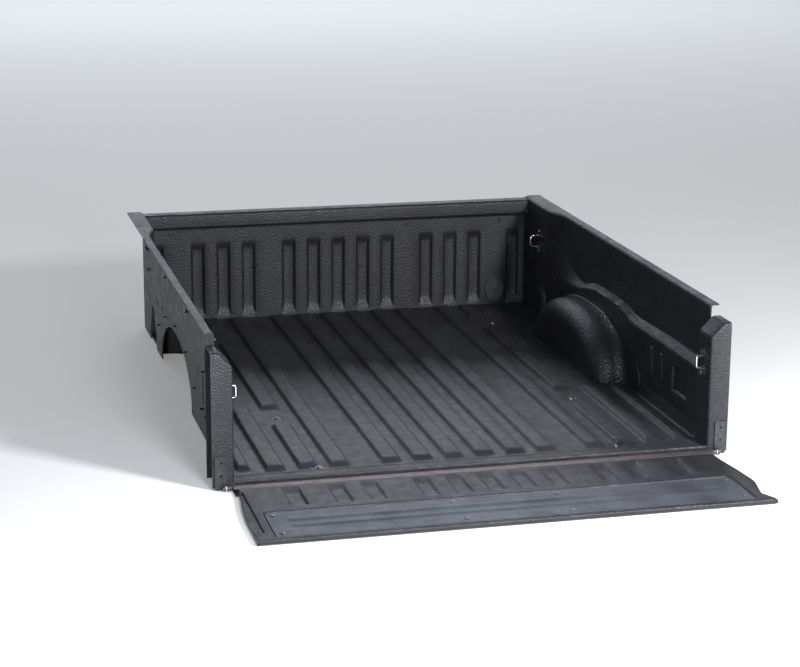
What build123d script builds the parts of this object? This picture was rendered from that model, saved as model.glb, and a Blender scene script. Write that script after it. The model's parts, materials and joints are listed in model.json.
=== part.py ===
from build123d import *
import os
from math import cos, radians, sin, sqrt

os.makedirs("parts", exist_ok=True)

# Pickup bed liner with a hinged tailgate liner, tailgate lying open.
# +X is the vehicle's right side, +Y points to the cab, +Z is up. All sizes in millimetres.
# "From the rear edge" is measured forwards from the floor's rear edge,
# and "above the floor" is measured up from the flat top of the floor.

# ---------------------------------------------------------------- driving dimensions
SHELL = 4.0  # wall of every moulded panel
UNDERLAY = 18.0  # foam strips under the floor

BED_LENGTH = 1930.0  # floor, rear edge to front wall
LOWER_WIDTH = 1504.0  # between the lower side walls
LEDGE_DEPTH = 26.0  # how far the upper side walls stand outboard of the lower ones
WALL_HEIGHT = 425.0  # floor to the top of the sides
TOP_FLANGE = 30.0  # width of the sides' outward top flange

POST_STEP = 10.0  # how far the rear post covers stand inboard of the lower walls
POST_DEPTH = 105.0
POST_SHOULDER = 350.0  # height of the post cover's vertical face
POST_HEIGHT = 395.0
POST_SLOPE_RUN = 43.0  # sideways run of its sloped top

HOUSING_REACH = 112.0  # depth of the wheel covers, inboard from the lower walls
HOUSING_CENTRE = 1112.0  # from the rear edge
HOUSING_HALF_LENGTH = 367.0
HOUSING_HEIGHT = 190.0
HOUSING_ROUND = 80.0  # radius of the cover's inboard edge
HOUSING_CLEARANCE = 1.0  # between the wheel cover and the floor's edge
ARCH_FLANGE = 14.0  # lip of the wheel cover on the side wall, above the cover
ARCH_BEHIND = 137.0  # the same lip behind the cover and ahead of it
ARCH_AHEAD = 106.0
FOOT_FLANGE = 20.0  # lip of the wheel cover under the floor
ARCH_OVERLAP = 20.0  # side wall kept behind the wheel cover's rim

RIB_HEIGHT = 12.0
RIB_BASE = 66.0
RIB_TOP = 46.0
RIB_REAR = 72.0  # rib's rear foot, from the rear edge
RIB_REAR_SLOPE = 27.0
RIB_FRONT_MARGIN = 19.0  # rib's front foot to the front wall
RIB_FRONT_SLOPE = 15.0
RIB_PITCH = 98.0
LONG_RIBS = (0.5 * RIB_PITCH, 1.5 * RIB_PITCH, 2.5 * RIB_PITCH, 406.0)
SPLIT_RIB = 503.0  # rib that stops short of the floor bolts
OUTER_RIB_INSET = 149.0  # rib behind the wheel cover, from the side wall
EDGE_RIB_INSET = 55.0  # narrow rib beside the side wall
EDGE_RIB_NARROWER = 20.0

KICK_HEIGHT = 42.0  # floor's turned-up side flange
KICK_LEAN = 10.0  # how far its top stands outboard of its foot
EDGE_RIB_START = 90.0  # from the rear edge
REAR_LIP = 10.0
REAR_LIP_HEIGHT = 4.0
REAR_STEP = 1.5  # depth of the flat band behind the ribs
REAR_STEP_END = 55.0

# floor bolts: distance from the centre line, distance from the rear edge
BOLT_SPOTS = ((470.0, 80.0), (500.0, 604.0), (535.0, 1635.0))
BOLT_R = 4.0
BOLT_NECK_R = 5.0  # shoulder above the threaded end
BOLT_HEAD_R = 9.0
BOLT_HEAD_HEIGHT = 5.0
WASHER_R = 14.0
WASHER_THICKNESS = 1.5
DISH_R = 20.0
DISH_DEPTH = 3.0
BOSS_DROP = 4.0
RIB_TO_DISH = 6.0  # gap from a bolt's dish to a rib's foot
RIB_GAP_BEHIND = 84.0  # split rib: its end to the middle bolt
RIB_GAP_AHEAD = 91.0

FLUTE_WIDTH = 52.0
FLUTE_DEPTH = 12.0
FLUTE_BOTTOM = 12.0
FLUTE_TOP = 297.0
FLUTE_END_SLOPE = 28.0
FLUTE_SIDE_SLOPE = 8.0
FLUTE_PITCH = 97.0
WALL_FLUTES = (0.0, FLUTE_PITCH, 2 * FLUTE_PITCH, 350.0, 350.0 + FLUTE_PITCH, 545.0)
CORNER_FLUTE_INSET = 51.0  # last flute, from the side wall

CAP_BOTTOM = 365.0
CAP_TOP = 420.0
CAP_OVERHANG = 45.0
CAP_FRONT_LEG = 36.0
CAP_ROUND = 7.0

# ledge of the side wall: heights above the floor of its lower and upper edges,
# rearmost places measured from the wheel cover's rear end, the others from its front end
LEDGE_LOW = (221.0, 243.0)
LEDGE_HIGH = (247.0, 255.0)
LEDGE_RISE_START = -23.0
LEDGE_RISE_END = 125.0
LEDGE_LOWER_SWEEP = ((-383.0, 246.0), (-193.0, 211.0), (-39.0, 203.0),
                     (81.0, 206.0), (139.0, 239.0), (152.0, 309.0))
LEDGE_UPPER_SWEEP = ((-455.0, 255.0), (-322.0, 247.0), (-201.0, 223.0),
                     (-85.0, 249.0), (13.0, 299.0), (49.0, 345.0))
LEDGE_TURN = (0.0, 0.0, 0.2, 0.5, 0.8, 1.0)  # how far each of these has turned upright

# foot of the front column, from the wheel cover's front end: at the floor and at its top
GUSSET = (121.0, 281.0)
GUSSET_TIP = (161.0, 221.0)
GUSSET_HEIGHT = 118.0
GUSSET_DEPTH = 17.0
GUSSET_DRAFT = 10.0
# pressed details: behind the rear end of the wheel cover's lip, or back from its front end
BEADS = (186.0, 98.0)
BEAD_BOTTOM, BEAD_TOP = 90.0, 188.0
FRONT_BEADS = (143.0, 54.0)
FRONT_BEAD_BOTTOM, FRONT_BEAD_TOP = 160.0, 187.0
BEAD_WIDTH = 22.0
BEAD_DEPTH = 6.0
POCKET = (413.0, 273.0)
POCKET_BOTTOM, POCKET_TOP = 90.0, 180.0
POCKET_DEPTH = 8.0

HINGE_GAP = 16.0  # floor's rear edge to the hinge axis
HINGE_DROP = 12.5  # floor top down to the hinge axis
TAILGATE_REACH = 476.0  # hinge axis to the tailgate's free edge
TAILGATE_DROP = 5.0  # floor top down to the tailgate's face
TAILGATE_LAP = 12.0  # how far the tailgate's sides pass the lower walls
TAILGATE_TAPER = ((106.0, 18.0), (192.0, 7.0), (280.0, 1.0))  # from the axis, set in by
TAILGATE_NOTCH = 24.0  # depth of the latch notch in its right side
NOTCH_START, NOTCH_FLOOR, NOTCH_END = 309.0, 411.0, 464.0  # from the hinge axis
GATE_CORNER = 8.0
TAILGATE_START = 31.0  # hinge axis to the panel's front edge
TAILGATE_SKIRT = 13.0  # height of the panel's turned-down edge

GATE_FLUTES = (0.0, FLUTE_PITCH, 198.0, 356.0, 457.0)
GATE_FLUTE_START = 46.0  # measured from the hinge axis
GATE_FLUTE_END = 211.0
GATE_FLUTE_FACET = 37.0
GATE_FLUTE_DEPTH = 8.0
GATE_WIDE_FLUTE = 591.0
GATE_WIDE_FLUTE_WIDTH = 55.0
STRIP_INSET = 32.0  # lowered side strips and the pieces below, set in from the side
STRIP_DROP = 5.5
SIDE_STRIP = (64.0, 415.0)  # from the hinge axis

COVER_BAY_INSET = 55.0
COVER_BAY_START = 249.0  # from the hinge axis
COVER_BAY_END = 457.0
COVER_BAY_DEPTH = 8.0
COVER_GAP = 3.0
COVER_CORNER = 20.0
COVER_HEIGHT = 6.0
COVER_WALL = 4.0
COVER_RIM = 12.0
COVER_BEADS = (321.0, 371.0)
COVER_BEAD_MARGIN = 58.0  # from the bay's end
COVER_BEAD_WIDTH = 30.0
COVER_BEAD_HEIGHT = 4.0
SCREW_MARGIN = 26.0  # outer screws, from the bay's end
INNER_SCREWS = 157.0  # inner screws, from the centre line
SCREW_ROWS = (278.0, 424.0)
SCREW_R = 2.5
SCREW_HEAD_R = 6.5
SCREW_HEAD_HEIGHT = 2.5

STEEL = 2.0  # sheet steel of the hinge rail and clips
HEM_R = 7.5  # rolled hem and knuckle, outside
KNUCKLE_LENGTH = 16.0
PIN_R = 4.0
PIN_CLEARANCE = 0.05
PIN_HEAD_R = 7.0
PIN_HEAD = 3.0
BUSH_COLLAR = 3.0
BUSH_COLLAR_R = 7.0
EAR_GAP = 1.0
EAR_THICKNESS = 5.0
EAR_R = 9.0
BRACKET_THICKNESS = 5.0
BRACKET_WIDTH = 36.0
BRACKET_HEIGHT = 103.0
BRACKET_HOLE_R = 4.5
BRACKET_HOLES = (44.0, 84.0)  # heights above the base
FRAME_BAR_INSET = 43.5
FRAME_BAR_WIDTH = 13.0
RAIL_LAP = 28.0  # how far the hinge rail reaches under the panel

# tie-down loops: from the rear edge, height above the floor, then the loop's own height,
# its reach inboard and how far its feet stand beyond its arms
FRONT_LOOP = (1748.0, 286.0, 42.0, 33.0, 17.0)
REAR_LOOP = (67.0, 257.0, 36.0, 16.0, 16.0)
LOOP_ROD_R = 4.5
LOOP_BEND_SHARE = 0.4  # bend radius as a share of the reach
LOOP_EAR_R = 11.0
LOOP_EAR = 4.0
LOOP_STUD = 18.0
GASKET = 2.0
NUT_ACROSS = 13.0
NUT_HEIGHT = 6.0

RIVET_HEAD_R = 7.0
RIVET_HEAD = 2.2
RIVET_R = 3.0
RIVET_LENGTH = 12.0
RIVET_HOLE_CLEARANCE = 0.2
SMALL_RIVET_HEAD_R = 5.0
SIDE_RIVET_HEIGHT = 76.0  # under the rear beads
UPPER_RIVET = (300.0, 257.0)
INNER_WALL_RIVET = 272.0
OUTER_WALL_RIVET_INSET = 104.0
WALL_RIVET_HEIGHT = 338.0
PUSH_PIN_INSET = 25.0  # from the rear post cover
PUSH_PIN_Y = 42.0  # from the rear edge
ARCH_RIVET_ANGLES = (30, 60, 90, 120, 150)

RAIL_HOLES = (300.0, 1650.0)  # from the rear edge
RAIL_HOLE_R = 3.25
RAIL_CLIPS = (500.0, 975.0, 1450.0)
CLIP_LENGTH = 30.0
CLIP_WIDTH = 20.0
CLIP_DROP = 24.0
CLIP_HOOK = 10.0

BADGE_INSET = 124.0  # centre, from the right side wall
BADGE_HEIGHT = 60.0  # centre above the floor
BADGE_HALF = (49.0, 36.0)  # half its height, half its width
BADGE_THICKNESS = 5.0
BADGE_RIM = 6.0
BADGE_STUD_R = 3.0

STRIP_WIDTH = 24.0
WIDE_STRIP_WIDTH = 80.0
STRIP_START = 120.0
STRIP_FRONT_MARGIN = 40.0

# ---------------------------------------------------------------- derived places
CAP_FORWARD = FLUTE_DEPTH + 2 * SHELL
TOTAL_LENGTH = TAILGATE_REACH + HINGE_GAP + BED_LENGTH + CAP_FORWARD
REAR_Y = TAILGATE_REACH + HINGE_GAP - TOTAL_LENGTH / 2
FRONT_Y = REAR_Y + BED_LENGTH
HINGE_Y = REAR_Y - HINGE_GAP

FLOOR_UNDER = UNDERLAY
FLOOR_TOP = UNDERLAY + SHELL
WALL_TOP = FLOOR_TOP + WALL_HEIGHT
SIDE_BOTTOM = FLOOR_UNDER - 3 * SHELL
HINGE_Z = FLOOR_TOP - HINGE_DROP
GATE_TOP = FLOOR_TOP - TAILGATE_DROP
GATE_UNDER = GATE_TOP - SHELL
GATE_BOTTOM = GATE_TOP - TAILGATE_SKIRT
BAY_FLOOR = GATE_TOP - COVER_BAY_DEPTH
COVER_TOP = BAY_FLOOR + COVER_HEIGHT

LOWER_X = LOWER_WIDTH / 2
UPPER_X = LOWER_X + LEDGE_DEPTH
POST_X = LOWER_X - POST_STEP
HOUSING_X = LOWER_X - HOUSING_REACH
OUTER_X = UPPER_X + TOP_FLANGE
OUTER_RIB = LOWER_X - OUTER_RIB_INSET
EDGE_RIB = LOWER_X - EDGE_RIB_INSET
GATE_X = LOWER_X + TAILGATE_LAP
STRIP_X = GATE_X - STRIP_INSET
BAY_X = GATE_X - COVER_BAY_INSET
FRAME_BAR_X = GATE_X - FRAME_BAR_INSET
RAIL_END = LOWER_X
BADGE_X = LOWER_X - BADGE_INSET
HOUSING_Y = REAR_Y + HOUSING_CENTRE
HOUSING_TOP = HOUSING_HEIGHT + SHELL  # above the floor's underside, where the dome starts
EAR_X = RAIL_END + KNUCKLE_LENGTH + BUSH_COLLAR + EAR_GAP
RIB_FRONT = BED_LENGTH - RIB_FRONT_MARGIN
HOUSING_REAR = HOUSING_CENTRE - HOUSING_HALF_LENGTH
HOUSING_FRONT = HOUSING_CENTRE + HOUSING_HALF_LENGTH
ARCH_REAR = HOUSING_REAR - ARCH_BEHIND
ARCH_FRONT = HOUSING_FRONT + ARCH_AHEAD
ARCH_Y = REAR_Y + (ARCH_REAR + ARCH_FRONT) / 2
ARCH_HALF_LENGTH = (ARCH_FRONT - ARCH_REAR) / 2
ARCH_TOP = HOUSING_TOP + ARCH_FLANGE
BOSS_R = DISH_R + SHELL
RIVET_HOLE_R = RIVET_R + RIVET_HOLE_CLEARANCE


# ---------------------------------------------------------------- shared shapes
def tapered_pad(plane, low, high, height, mode=Mode.ADD):
    """Frustum from rectangle low on the plane to rectangle high, each (x1, x2, y1, y2)."""
    sections = []
    for level, (x1, x2, y1, y2) in ((0, low), (height, high)):
        with BuildSketch(plane.offset(level)) as section:
            with Locations(((x1 + x2) / 2, (y1 + y2) / 2)):
                Rectangle(x2 - x1, y2 - y1)
        sections.append(section.sketch)
    loft(sections=sections, mode=mode)


def formed_pad(plane, low, slopes, height, mode=Mode.ADD):
    """Pad drawn in at its top by slopes (x1, x2, y1, y2) measured from rectangle low."""
    x1, x2, y1, y2 = low
    high = (x1 + slopes[0], x2 - slopes[1], y1 + slopes[2], y2 - slopes[3])
    tapered_pad(plane, low, high, height, mode)


def grown(rectangle, by):
    x1, x2, y1, y2 = rectangle
    return (x1 - by, x2 + by, y1 - by, y2 + by)


def block(x1, x2, y1, y2, z1, z2, mode=Mode.ADD):
    with BuildSketch(Plane.XY.offset(z1)) as base:
        with Locations(((x1 + x2) / 2, (y1 + y2) / 2)):
            Rectangle(x2 - x1, y2 - y1)
    extrude(base.sketch, amount=z2 - z1, mode=mode)


def rod(plane, radius, length, mode=Mode.ADD):
    """Cylinder from the plane's origin along its normal."""
    with BuildSketch(plane) as section:
        Circle(radius)
    extrude(section.sketch, amount=length, mode=mode)


def tube(plane, outer, inner, length, mode=Mode.ADD):
    with BuildSketch(plane) as section:
        Circle(outer)
        Circle(inner, mode=Mode.SUBTRACT)
    extrude(section.sketch, amount=length, mode=mode)


def facing(point, direction):
    return Plane(origin=point, z_dir=direction)


def both_sides(values):
    return [side * value for value in values for side in (-1, 1)]


# ---------------------------------------------------------------- floor panel
def rib_pieces():
    """Every floor rib as (centre x, width narrower than a full rib, rear foot, front foot)."""
    ribs = [(x, 0.0, RIB_REAR, RIB_FRONT) for x in both_sides(LONG_RIBS)]
    rear_bolt, middle_bolt, front_bolt = [y for _, y in BOLT_SPOTS]
    dish = DISH_R + RIB_TO_DISH
    for x in both_sides((SPLIT_RIB,)):
        ribs.append((x, 0.0, rear_bolt + dish, middle_bolt - RIB_GAP_BEHIND))
        ribs.append((x, 0.0, middle_bolt + RIB_GAP_AHEAD, front_bolt - RIB_GAP_BEHIND))
        ribs.append((x, 0.0, front_bolt + RIB_GAP_AHEAD, RIB_FRONT))
    behind_housing = HOUSING_REAR - FOOT_FLANGE
    for x in both_sides((OUTER_RIB,)):
        ribs.append((x, 0.0, RIB_REAR, behind_housing))
    for x in both_sides((EDGE_RIB,)):
        ribs.append((x, EDGE_RIB_NARROWER, EDGE_RIB_START, behind_housing))
    return ribs


def housing_footprint(plane, spread, mode=Mode.ADD):
    """Wheel cover's outline on the floor, right side, spread outwards by an amount."""
    inboard = HOUSING_X - spread
    half_length = HOUSING_HALF_LENGTH + spread
    with BuildSketch(plane) as outline:
        with Locations(((inboard + LOWER_X) / 2, HOUSING_Y)):
            Rectangle(LOWER_X - inboard, 2 * half_length)
        fillet(outline.vertices().group_by(Axis.X)[0], HOUSING_ROUND + spread)
    return outline.sketch


rib_slope = (RIB_BASE - RIB_TOP) / 2
floor_plane = Plane.XY.offset(FLOOR_TOP)

with BuildPart() as floor_panel:
    with BuildSketch(Plane.XY.offset(FLOOR_UNDER)):
        with Locations((0, (REAR_Y + FRONT_Y) / 2)):
            Rectangle(2 * LOWER_X, BED_LENGTH)
        with Locations((0, REAR_Y + POST_DEPTH / 2)):
            Rectangle(2 * LOWER_X, POST_DEPTH, mode=Mode.SUBTRACT)
            Rectangle(2 * POST_X, POST_DEPTH)
    extrude(amount=SHELL)
    footprint = housing_footprint(Plane.XY.offset(FLOOR_UNDER), HOUSING_CLEARANCE)
    extrude(footprint, amount=SHELL, mode=Mode.SUBTRACT)
    extrude(mirror(footprint, about=Plane.YZ, mode=Mode.PRIVATE), amount=SHELL, mode=Mode.SUBTRACT)

    # turned-up sides behind the wheel covers, turned-down rear edge, raised rear lip
    kick_start = REAR_Y + POST_DEPTH
    kick_length = ARCH_REAR - 2 * HOUSING_CLEARANCE - POST_DEPTH
    kick_foot = LOWER_X - SHELL - KICK_LEAN
    for side in (-1, 1):
        with BuildSketch(Plane.XZ.offset(-kick_start)) as kick:
            with BuildLine():
                Polyline((side * kick_foot, FLOOR_UNDER), (side * (kick_foot + SHELL), FLOOR_UNDER),
                         (side * LOWER_X, FLOOR_TOP + KICK_HEIGHT),
                         (side * (LOWER_X - SHELL), FLOOR_TOP + KICK_HEIGHT), close=True)
            make_face()
        extrude(kick.sketch, amount=-kick_length)
    block(-POST_X, POST_X, REAR_Y, REAR_Y + SHELL, GATE_BOTTOM, FLOOR_UNDER)
    step_start = REAR_Y + REAR_LIP
    step_end = REAR_Y + REAR_STEP_END
    block(-POST_X, POST_X, REAR_Y, step_start, FLOOR_TOP, FLOOR_TOP + REAR_LIP_HEIGHT)
    block(-POST_X, POST_X, step_start, step_end, FLOOR_TOP - REAR_STEP, FLOOR_TOP, Mode.SUBTRACT)

    # hollow ribs: outer form first, then the matching recess from below
    for x, narrower, rear, front in rib_pieces():
        half = (RIB_BASE - narrower) / 2
        foot = (x - half, x + half, REAR_Y + rear, REAR_Y + front)
        slopes = (rib_slope, rib_slope, RIB_REAR_SLOPE, RIB_FRONT_SLOPE)
        formed_pad(floor_plane, foot, slopes, RIB_HEIGHT)
        formed_pad(floor_plane.offset(-SHELL), grown(foot, -SHELL), slopes, RIB_HEIGHT, Mode.SUBTRACT)

    # dished seats for the floor bolts, on bosses
    for x, y in BOLT_SPOTS:
        for side in (-1, 1):
            spot = (side * x, REAR_Y + y)
            rod(facing((*spot, FLOOR_UNDER - BOSS_DROP), (0, 0, 1)), BOSS_R, BOSS_DROP)
            seat = facing((*spot, FLOOR_TOP - DISH_DEPTH), (0, 0, 1))
            rod(seat, DISH_R, DISH_DEPTH, Mode.SUBTRACT)
            rod(seat.offset(-UNDERLAY), BOLT_NECK_R, UNDERLAY, Mode.SUBTRACT)
    for side in (-1, 1):
        pin_spot = (side * (POST_X - PUSH_PIN_INSET), REAR_Y + PUSH_PIN_Y, 0)
        rod(facing(pin_spot, (0, 0, 1)), RIVET_HOLE_R, FLOOR_TOP + SHELL, Mode.SUBTRACT)

# ---------------------------------------------------------------- foam strips under the floor
with BuildPart() as floor_underlay:
    bolt_reach = BOSS_R + RIB_TO_DISH
    long_end = BED_LENGTH - STRIP_FRONT_MARGIN
    between_long = [(i * RIB_PITCH, STRIP_WIDTH, long_end) for i in (-2, -1, 0, 1, 2)]
    gap_strip = (LONG_RIBS[2] + LONG_RIBS[3]) / 2
    beside_split = (LONG_RIBS[3] + SPLIT_RIB) / 2
    beyond_split = (SPLIT_RIB + OUTER_RIB) / 2
    beside_edge = (OUTER_RIB + EDGE_RIB + EDGE_RIB_NARROWER / 2) / 2
    strips = between_long
    strips += [(x, WIDE_STRIP_WIDTH, long_end) for x in both_sides((gap_strip,))]
    strips += [(x, STRIP_WIDTH, long_end) for x in both_sides((beside_split,))]
    strips += [(x, STRIP_WIDTH, BOLT_SPOTS[2][1] - bolt_reach) for x in both_sides((beyond_split,))]
    strips += [(x, STRIP_WIDTH, HOUSING_REAR - 2 * FOOT_FLANGE) for x in both_sides((beside_edge,))]
    for x, width, end in strips:
        block(x - width / 2, x + width / 2, REAR_Y + STRIP_START, REAR_Y + end, 0, UNDERLAY)

# ---------------------------------------------------------------- front wall
wall_face = Plane.XZ.offset(-FRONT_Y)  # x right, y up, normal towards the tailgate


def wall_flute(x, spread, depth, mode):
    """Flute form pushed from the wall's face towards the cab."""
    half = FLUTE_WIDTH / 2 + spread
    mouth = (x - half, x + half, FLOOR_TOP + FLUTE_BOTTOM - spread, FLOOR_TOP + FLUTE_TOP + spread)
    slopes = (FLUTE_SIDE_SLOPE, FLUTE_SIDE_SLOPE, FLUTE_END_SLOPE, FLUTE_END_SLOPE)
    formed_pad(wall_face, mouth, slopes, -depth, mode)


flute_spots = sorted(set(both_sides((*WALL_FLUTES, LOWER_X - CORNER_FLUTE_INSET))))
wall_top = FLOOR_TOP + CAP_TOP - SHELL
badge_spot = (BADGE_X, FRONT_Y, FLOOR_TOP + BADGE_HEIGHT)
wall_rivets = (INNER_WALL_RIVET, LOWER_X - OUTER_WALL_RIVET_INSET)
wall_rivet_spots = [(x, FRONT_Y, FLOOR_TOP + WALL_RIVET_HEIGHT) for x in both_sides(wall_rivets)]

with BuildPart() as front_wall_panel:
    block(-LOWER_X, LOWER_X, FRONT_Y, FRONT_Y + SHELL, SIDE_BOTTOM, wall_top)
    for x in flute_spots:
        wall_flute(x, SHELL, FLUTE_DEPTH + SHELL, Mode.ADD)
    for x in flute_spots:
        wall_flute(x, 0, FLUTE_DEPTH, Mode.SUBTRACT)
    for spot in wall_rivet_spots:
        rod(facing(spot, (0, 1, 0)), RIVET_HOLE_R, 2 * SHELL, Mode.SUBTRACT)
    rod(facing(badge_spot, (0, 1, 0)), BADGE_STUD_R, 2 * SHELL, Mode.SUBTRACT)

with BuildPart() as front_top_cap:
    low, high = FLOOR_TOP + CAP_BOTTOM, FLOOR_TOP + CAP_TOP
    back = FRONT_Y - CAP_OVERHANG
    ahead = FRONT_Y + CAP_FORWARD
    with BuildSketch(Plane.YZ.offset(-LOWER_X)) as cap_profile:
        with Locations(((back + ahead) / 2, (low + high) / 2)):
            Rectangle(ahead - back, high - low)
        fillet(cap_profile.vertices(), CAP_ROUND)
        with Locations(((back + ahead) / 2, (low + high) / 2)):
            Rectangle(ahead - back - 2 * SHELL, high - low - 2 * SHELL, mode=Mode.SUBTRACT)
        # open towards the bulkhead: only the lip behind the wall stays below
        with Locations(((FRONT_Y + ahead) / 2, low + SHELL / 2)):
            Rectangle(ahead - FRONT_Y, SHELL * 2, mode=Mode.SUBTRACT)
        with Locations((ahead - SHELL / 2, (low + high - CAP_FRONT_LEG) / 2)):
            Rectangle(SHELL, high - low - CAP_FRONT_LEG, mode=Mode.SUBTRACT)
    extrude(amount=2 * LOWER_X)

with BuildPart() as front_wall_badge:
    badge_plane = facing(badge_spot, (0, -1, 0))
    with BuildSketch(badge_plane) as disc:
        Ellipse(*BADGE_HALF)
    extrude(disc.sketch, amount=BADGE_THICKNESS)
    with BuildSketch(badge_plane.offset(BADGE_THICKNESS - STEEL)) as dish:
        Ellipse(BADGE_HALF[0] - BADGE_RIM, BADGE_HALF[1] - BADGE_RIM)
    extrude(dish.sketch, amount=STEEL, mode=Mode.SUBTRACT)
    with BuildSketch(badge_plane.offset(BADGE_THICKNESS - STEEL)) as centre:
        Ellipse(BADGE_HALF[0] / 2, BADGE_HALF[1] / 2)
    extrude(centre.sketch, amount=STEEL / 2)
    rod(facing(badge_spot, (0, 1, 0)), BADGE_STUD_R, 2 * SHELL)


# ---------------------------------------------------------------- side panels
def ledge_point(y, lower, upper, share, inset, turn):
    """Point of the ledge a share of the way out, moved inwards: down, or forwards as it turns."""
    down, forwards = inset
    level = lower + share * (upper - lower)
    return (y + turn * forwards, FLOOR_TOP + level - (1 - turn) * down)


def under_ledge(x, share, inset, margin, bottom, top):
    """Side wall area below the ledge on the plane at x, a share of the way up the ledge."""
    rear, front = REAR_Y + POST_DEPTH + margin, FRONT_Y - margin
    rise_start = REAR_Y + HOUSING_REAR + LEDGE_RISE_START
    rise_end = REAR_Y + HOUSING_REAR + LEDGE_RISE_END
    low_start, low_end = [ledge_point(y, *LEDGE_LOW, share, inset, 0) for y in (rear, rise_start)]
    high = ledge_point(rise_end, *LEDGE_HIGH, share, inset, 0)
    turns = zip(LEDGE_LOWER_SWEEP, LEDGE_UPPER_SWEEP, LEDGE_TURN)
    swept = [ledge_point(REAR_Y + HOUSING_FRONT + y1 + share * (y2 - y1), z1, z2, share, inset, turn)
             for (y1, z1), (y2, z2), turn in turns]
    column = (swept[-1][0], top)
    with BuildSketch(Plane.YZ.offset(x)) as area:
        with BuildLine():
            Polyline(column, (front, top), (front, bottom), (rear, bottom), low_start, low_end)
            Spline(low_end, high, tangents=((1, 0), (1, 0)))
            Line(high, swept[0])
            Spline(*swept, tangents=((1, 0), (0, 1)))
            Line(swept[-1], column)
        make_face()
    return area.sketch


def half_ellipse(x, centre, half_length, height):
    """Half ellipse on the plane at x, flat at the floor's underside."""
    with BuildSketch(Plane.YZ.offset(x)) as arch:
        with Locations((centre, FLOOR_UNDER)):
            Ellipse(half_length, height)
        with Locations((centre, FLOOR_UNDER - height)):
            Rectangle(4 * half_length, 2 * height, mode=Mode.SUBTRACT)
    return arch.sketch


def arch_sketch(x, spread):
    """Wheel cover's outline on the plane at x, spread outwards."""
    return half_ellipse(x, HOUSING_Y, HOUSING_HALF_LENGTH + spread, HOUSING_TOP + spread)


def arch_rivet_spots():
    spots = []
    edge = ARCH_FLANGE / 2
    for angle in ARCH_RIVET_ANGLES:
        y = ARCH_Y + (ARCH_HALF_LENGTH - edge) * cos(radians(angle))
        z = FLOOR_UNDER + (ARCH_TOP - edge) * sin(radians(angle))
        spots.append((LOWER_X - SHELL, y, z))
    return spots


def bead(y, bottom, top):
    """Raised bead on the lower wall."""
    foot = (y - BEAD_WIDTH / 2, y + BEAD_WIDTH / 2, FLOOR_TOP + bottom, FLOOR_TOP + top)
    formed_pad(lower_face, foot, 4 * (BEAD_DEPTH,), -BEAD_DEPTH)


def gusset_area(x, spread):
    """Outline of the column's foot on the plane at x, spread outwards."""
    base, tip = FLOOR_TOP, FLOOR_TOP + GUSSET_HEIGHT + spread
    start = REAR_Y + HOUSING_FRONT
    with BuildSketch(Plane.YZ.offset(x)) as area:
        with BuildLine():
            Polyline((start + GUSSET[0] - spread, base), (start + GUSSET[1] + spread, base),
                     (start + GUSSET_TIP[1] + spread, tip), (start + GUSSET_TIP[0] - spread, tip),
                     close=True)
        make_face()
    return area.sketch


bead_spots = [REAR_Y + ARCH_REAR - y for y in BEADS]
front_bead_spots = [REAR_Y + ARCH_FRONT - y for y in FRONT_BEADS]
side_rivet_spots = [(LOWER_X, y, FLOOR_TOP + SIDE_RIVET_HEIGHT) for y in bead_spots]
upper_rivet_spot = (UPPER_X, REAR_Y + UPPER_RIVET[0], FLOOR_TOP + UPPER_RIVET[1])
loop_spots = {
    "front": (LOWER_X, REAR_Y + FRONT_LOOP[0], FLOOR_TOP + FRONT_LOOP[1], *FRONT_LOOP[2:]),
    "rear": (POST_X, REAR_Y + REAR_LOOP[0], FLOOR_TOP + REAR_LOOP[1], *REAR_LOOP[2:]),
}


def loop_holes(place):
    x, y, z, height, _, foot = loop_spots[place]
    for end in (-1, 1):
        start = (x - SHELL, y, z + end * (height / 2 + foot))
        rod(facing(start, (1, 0, 0)), BOLT_R, 4 * SHELL, Mode.SUBTRACT)


rear_end = REAR_Y + POST_DEPTH
ledge_slope = (LEDGE_LOW[1] - LEDGE_LOW[0]) / LEDGE_DEPTH
sweep_slope = (LEDGE_LOWER_SWEEP[-1][0] - LEDGE_UPPER_SWEEP[-1][0]) / LEDGE_DEPTH
ledge_wall = [SHELL * sqrt(1 + slope**2) for slope in (ledge_slope, sweep_slope)]
lower_face = Plane.YZ.offset(LOWER_X)

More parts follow.
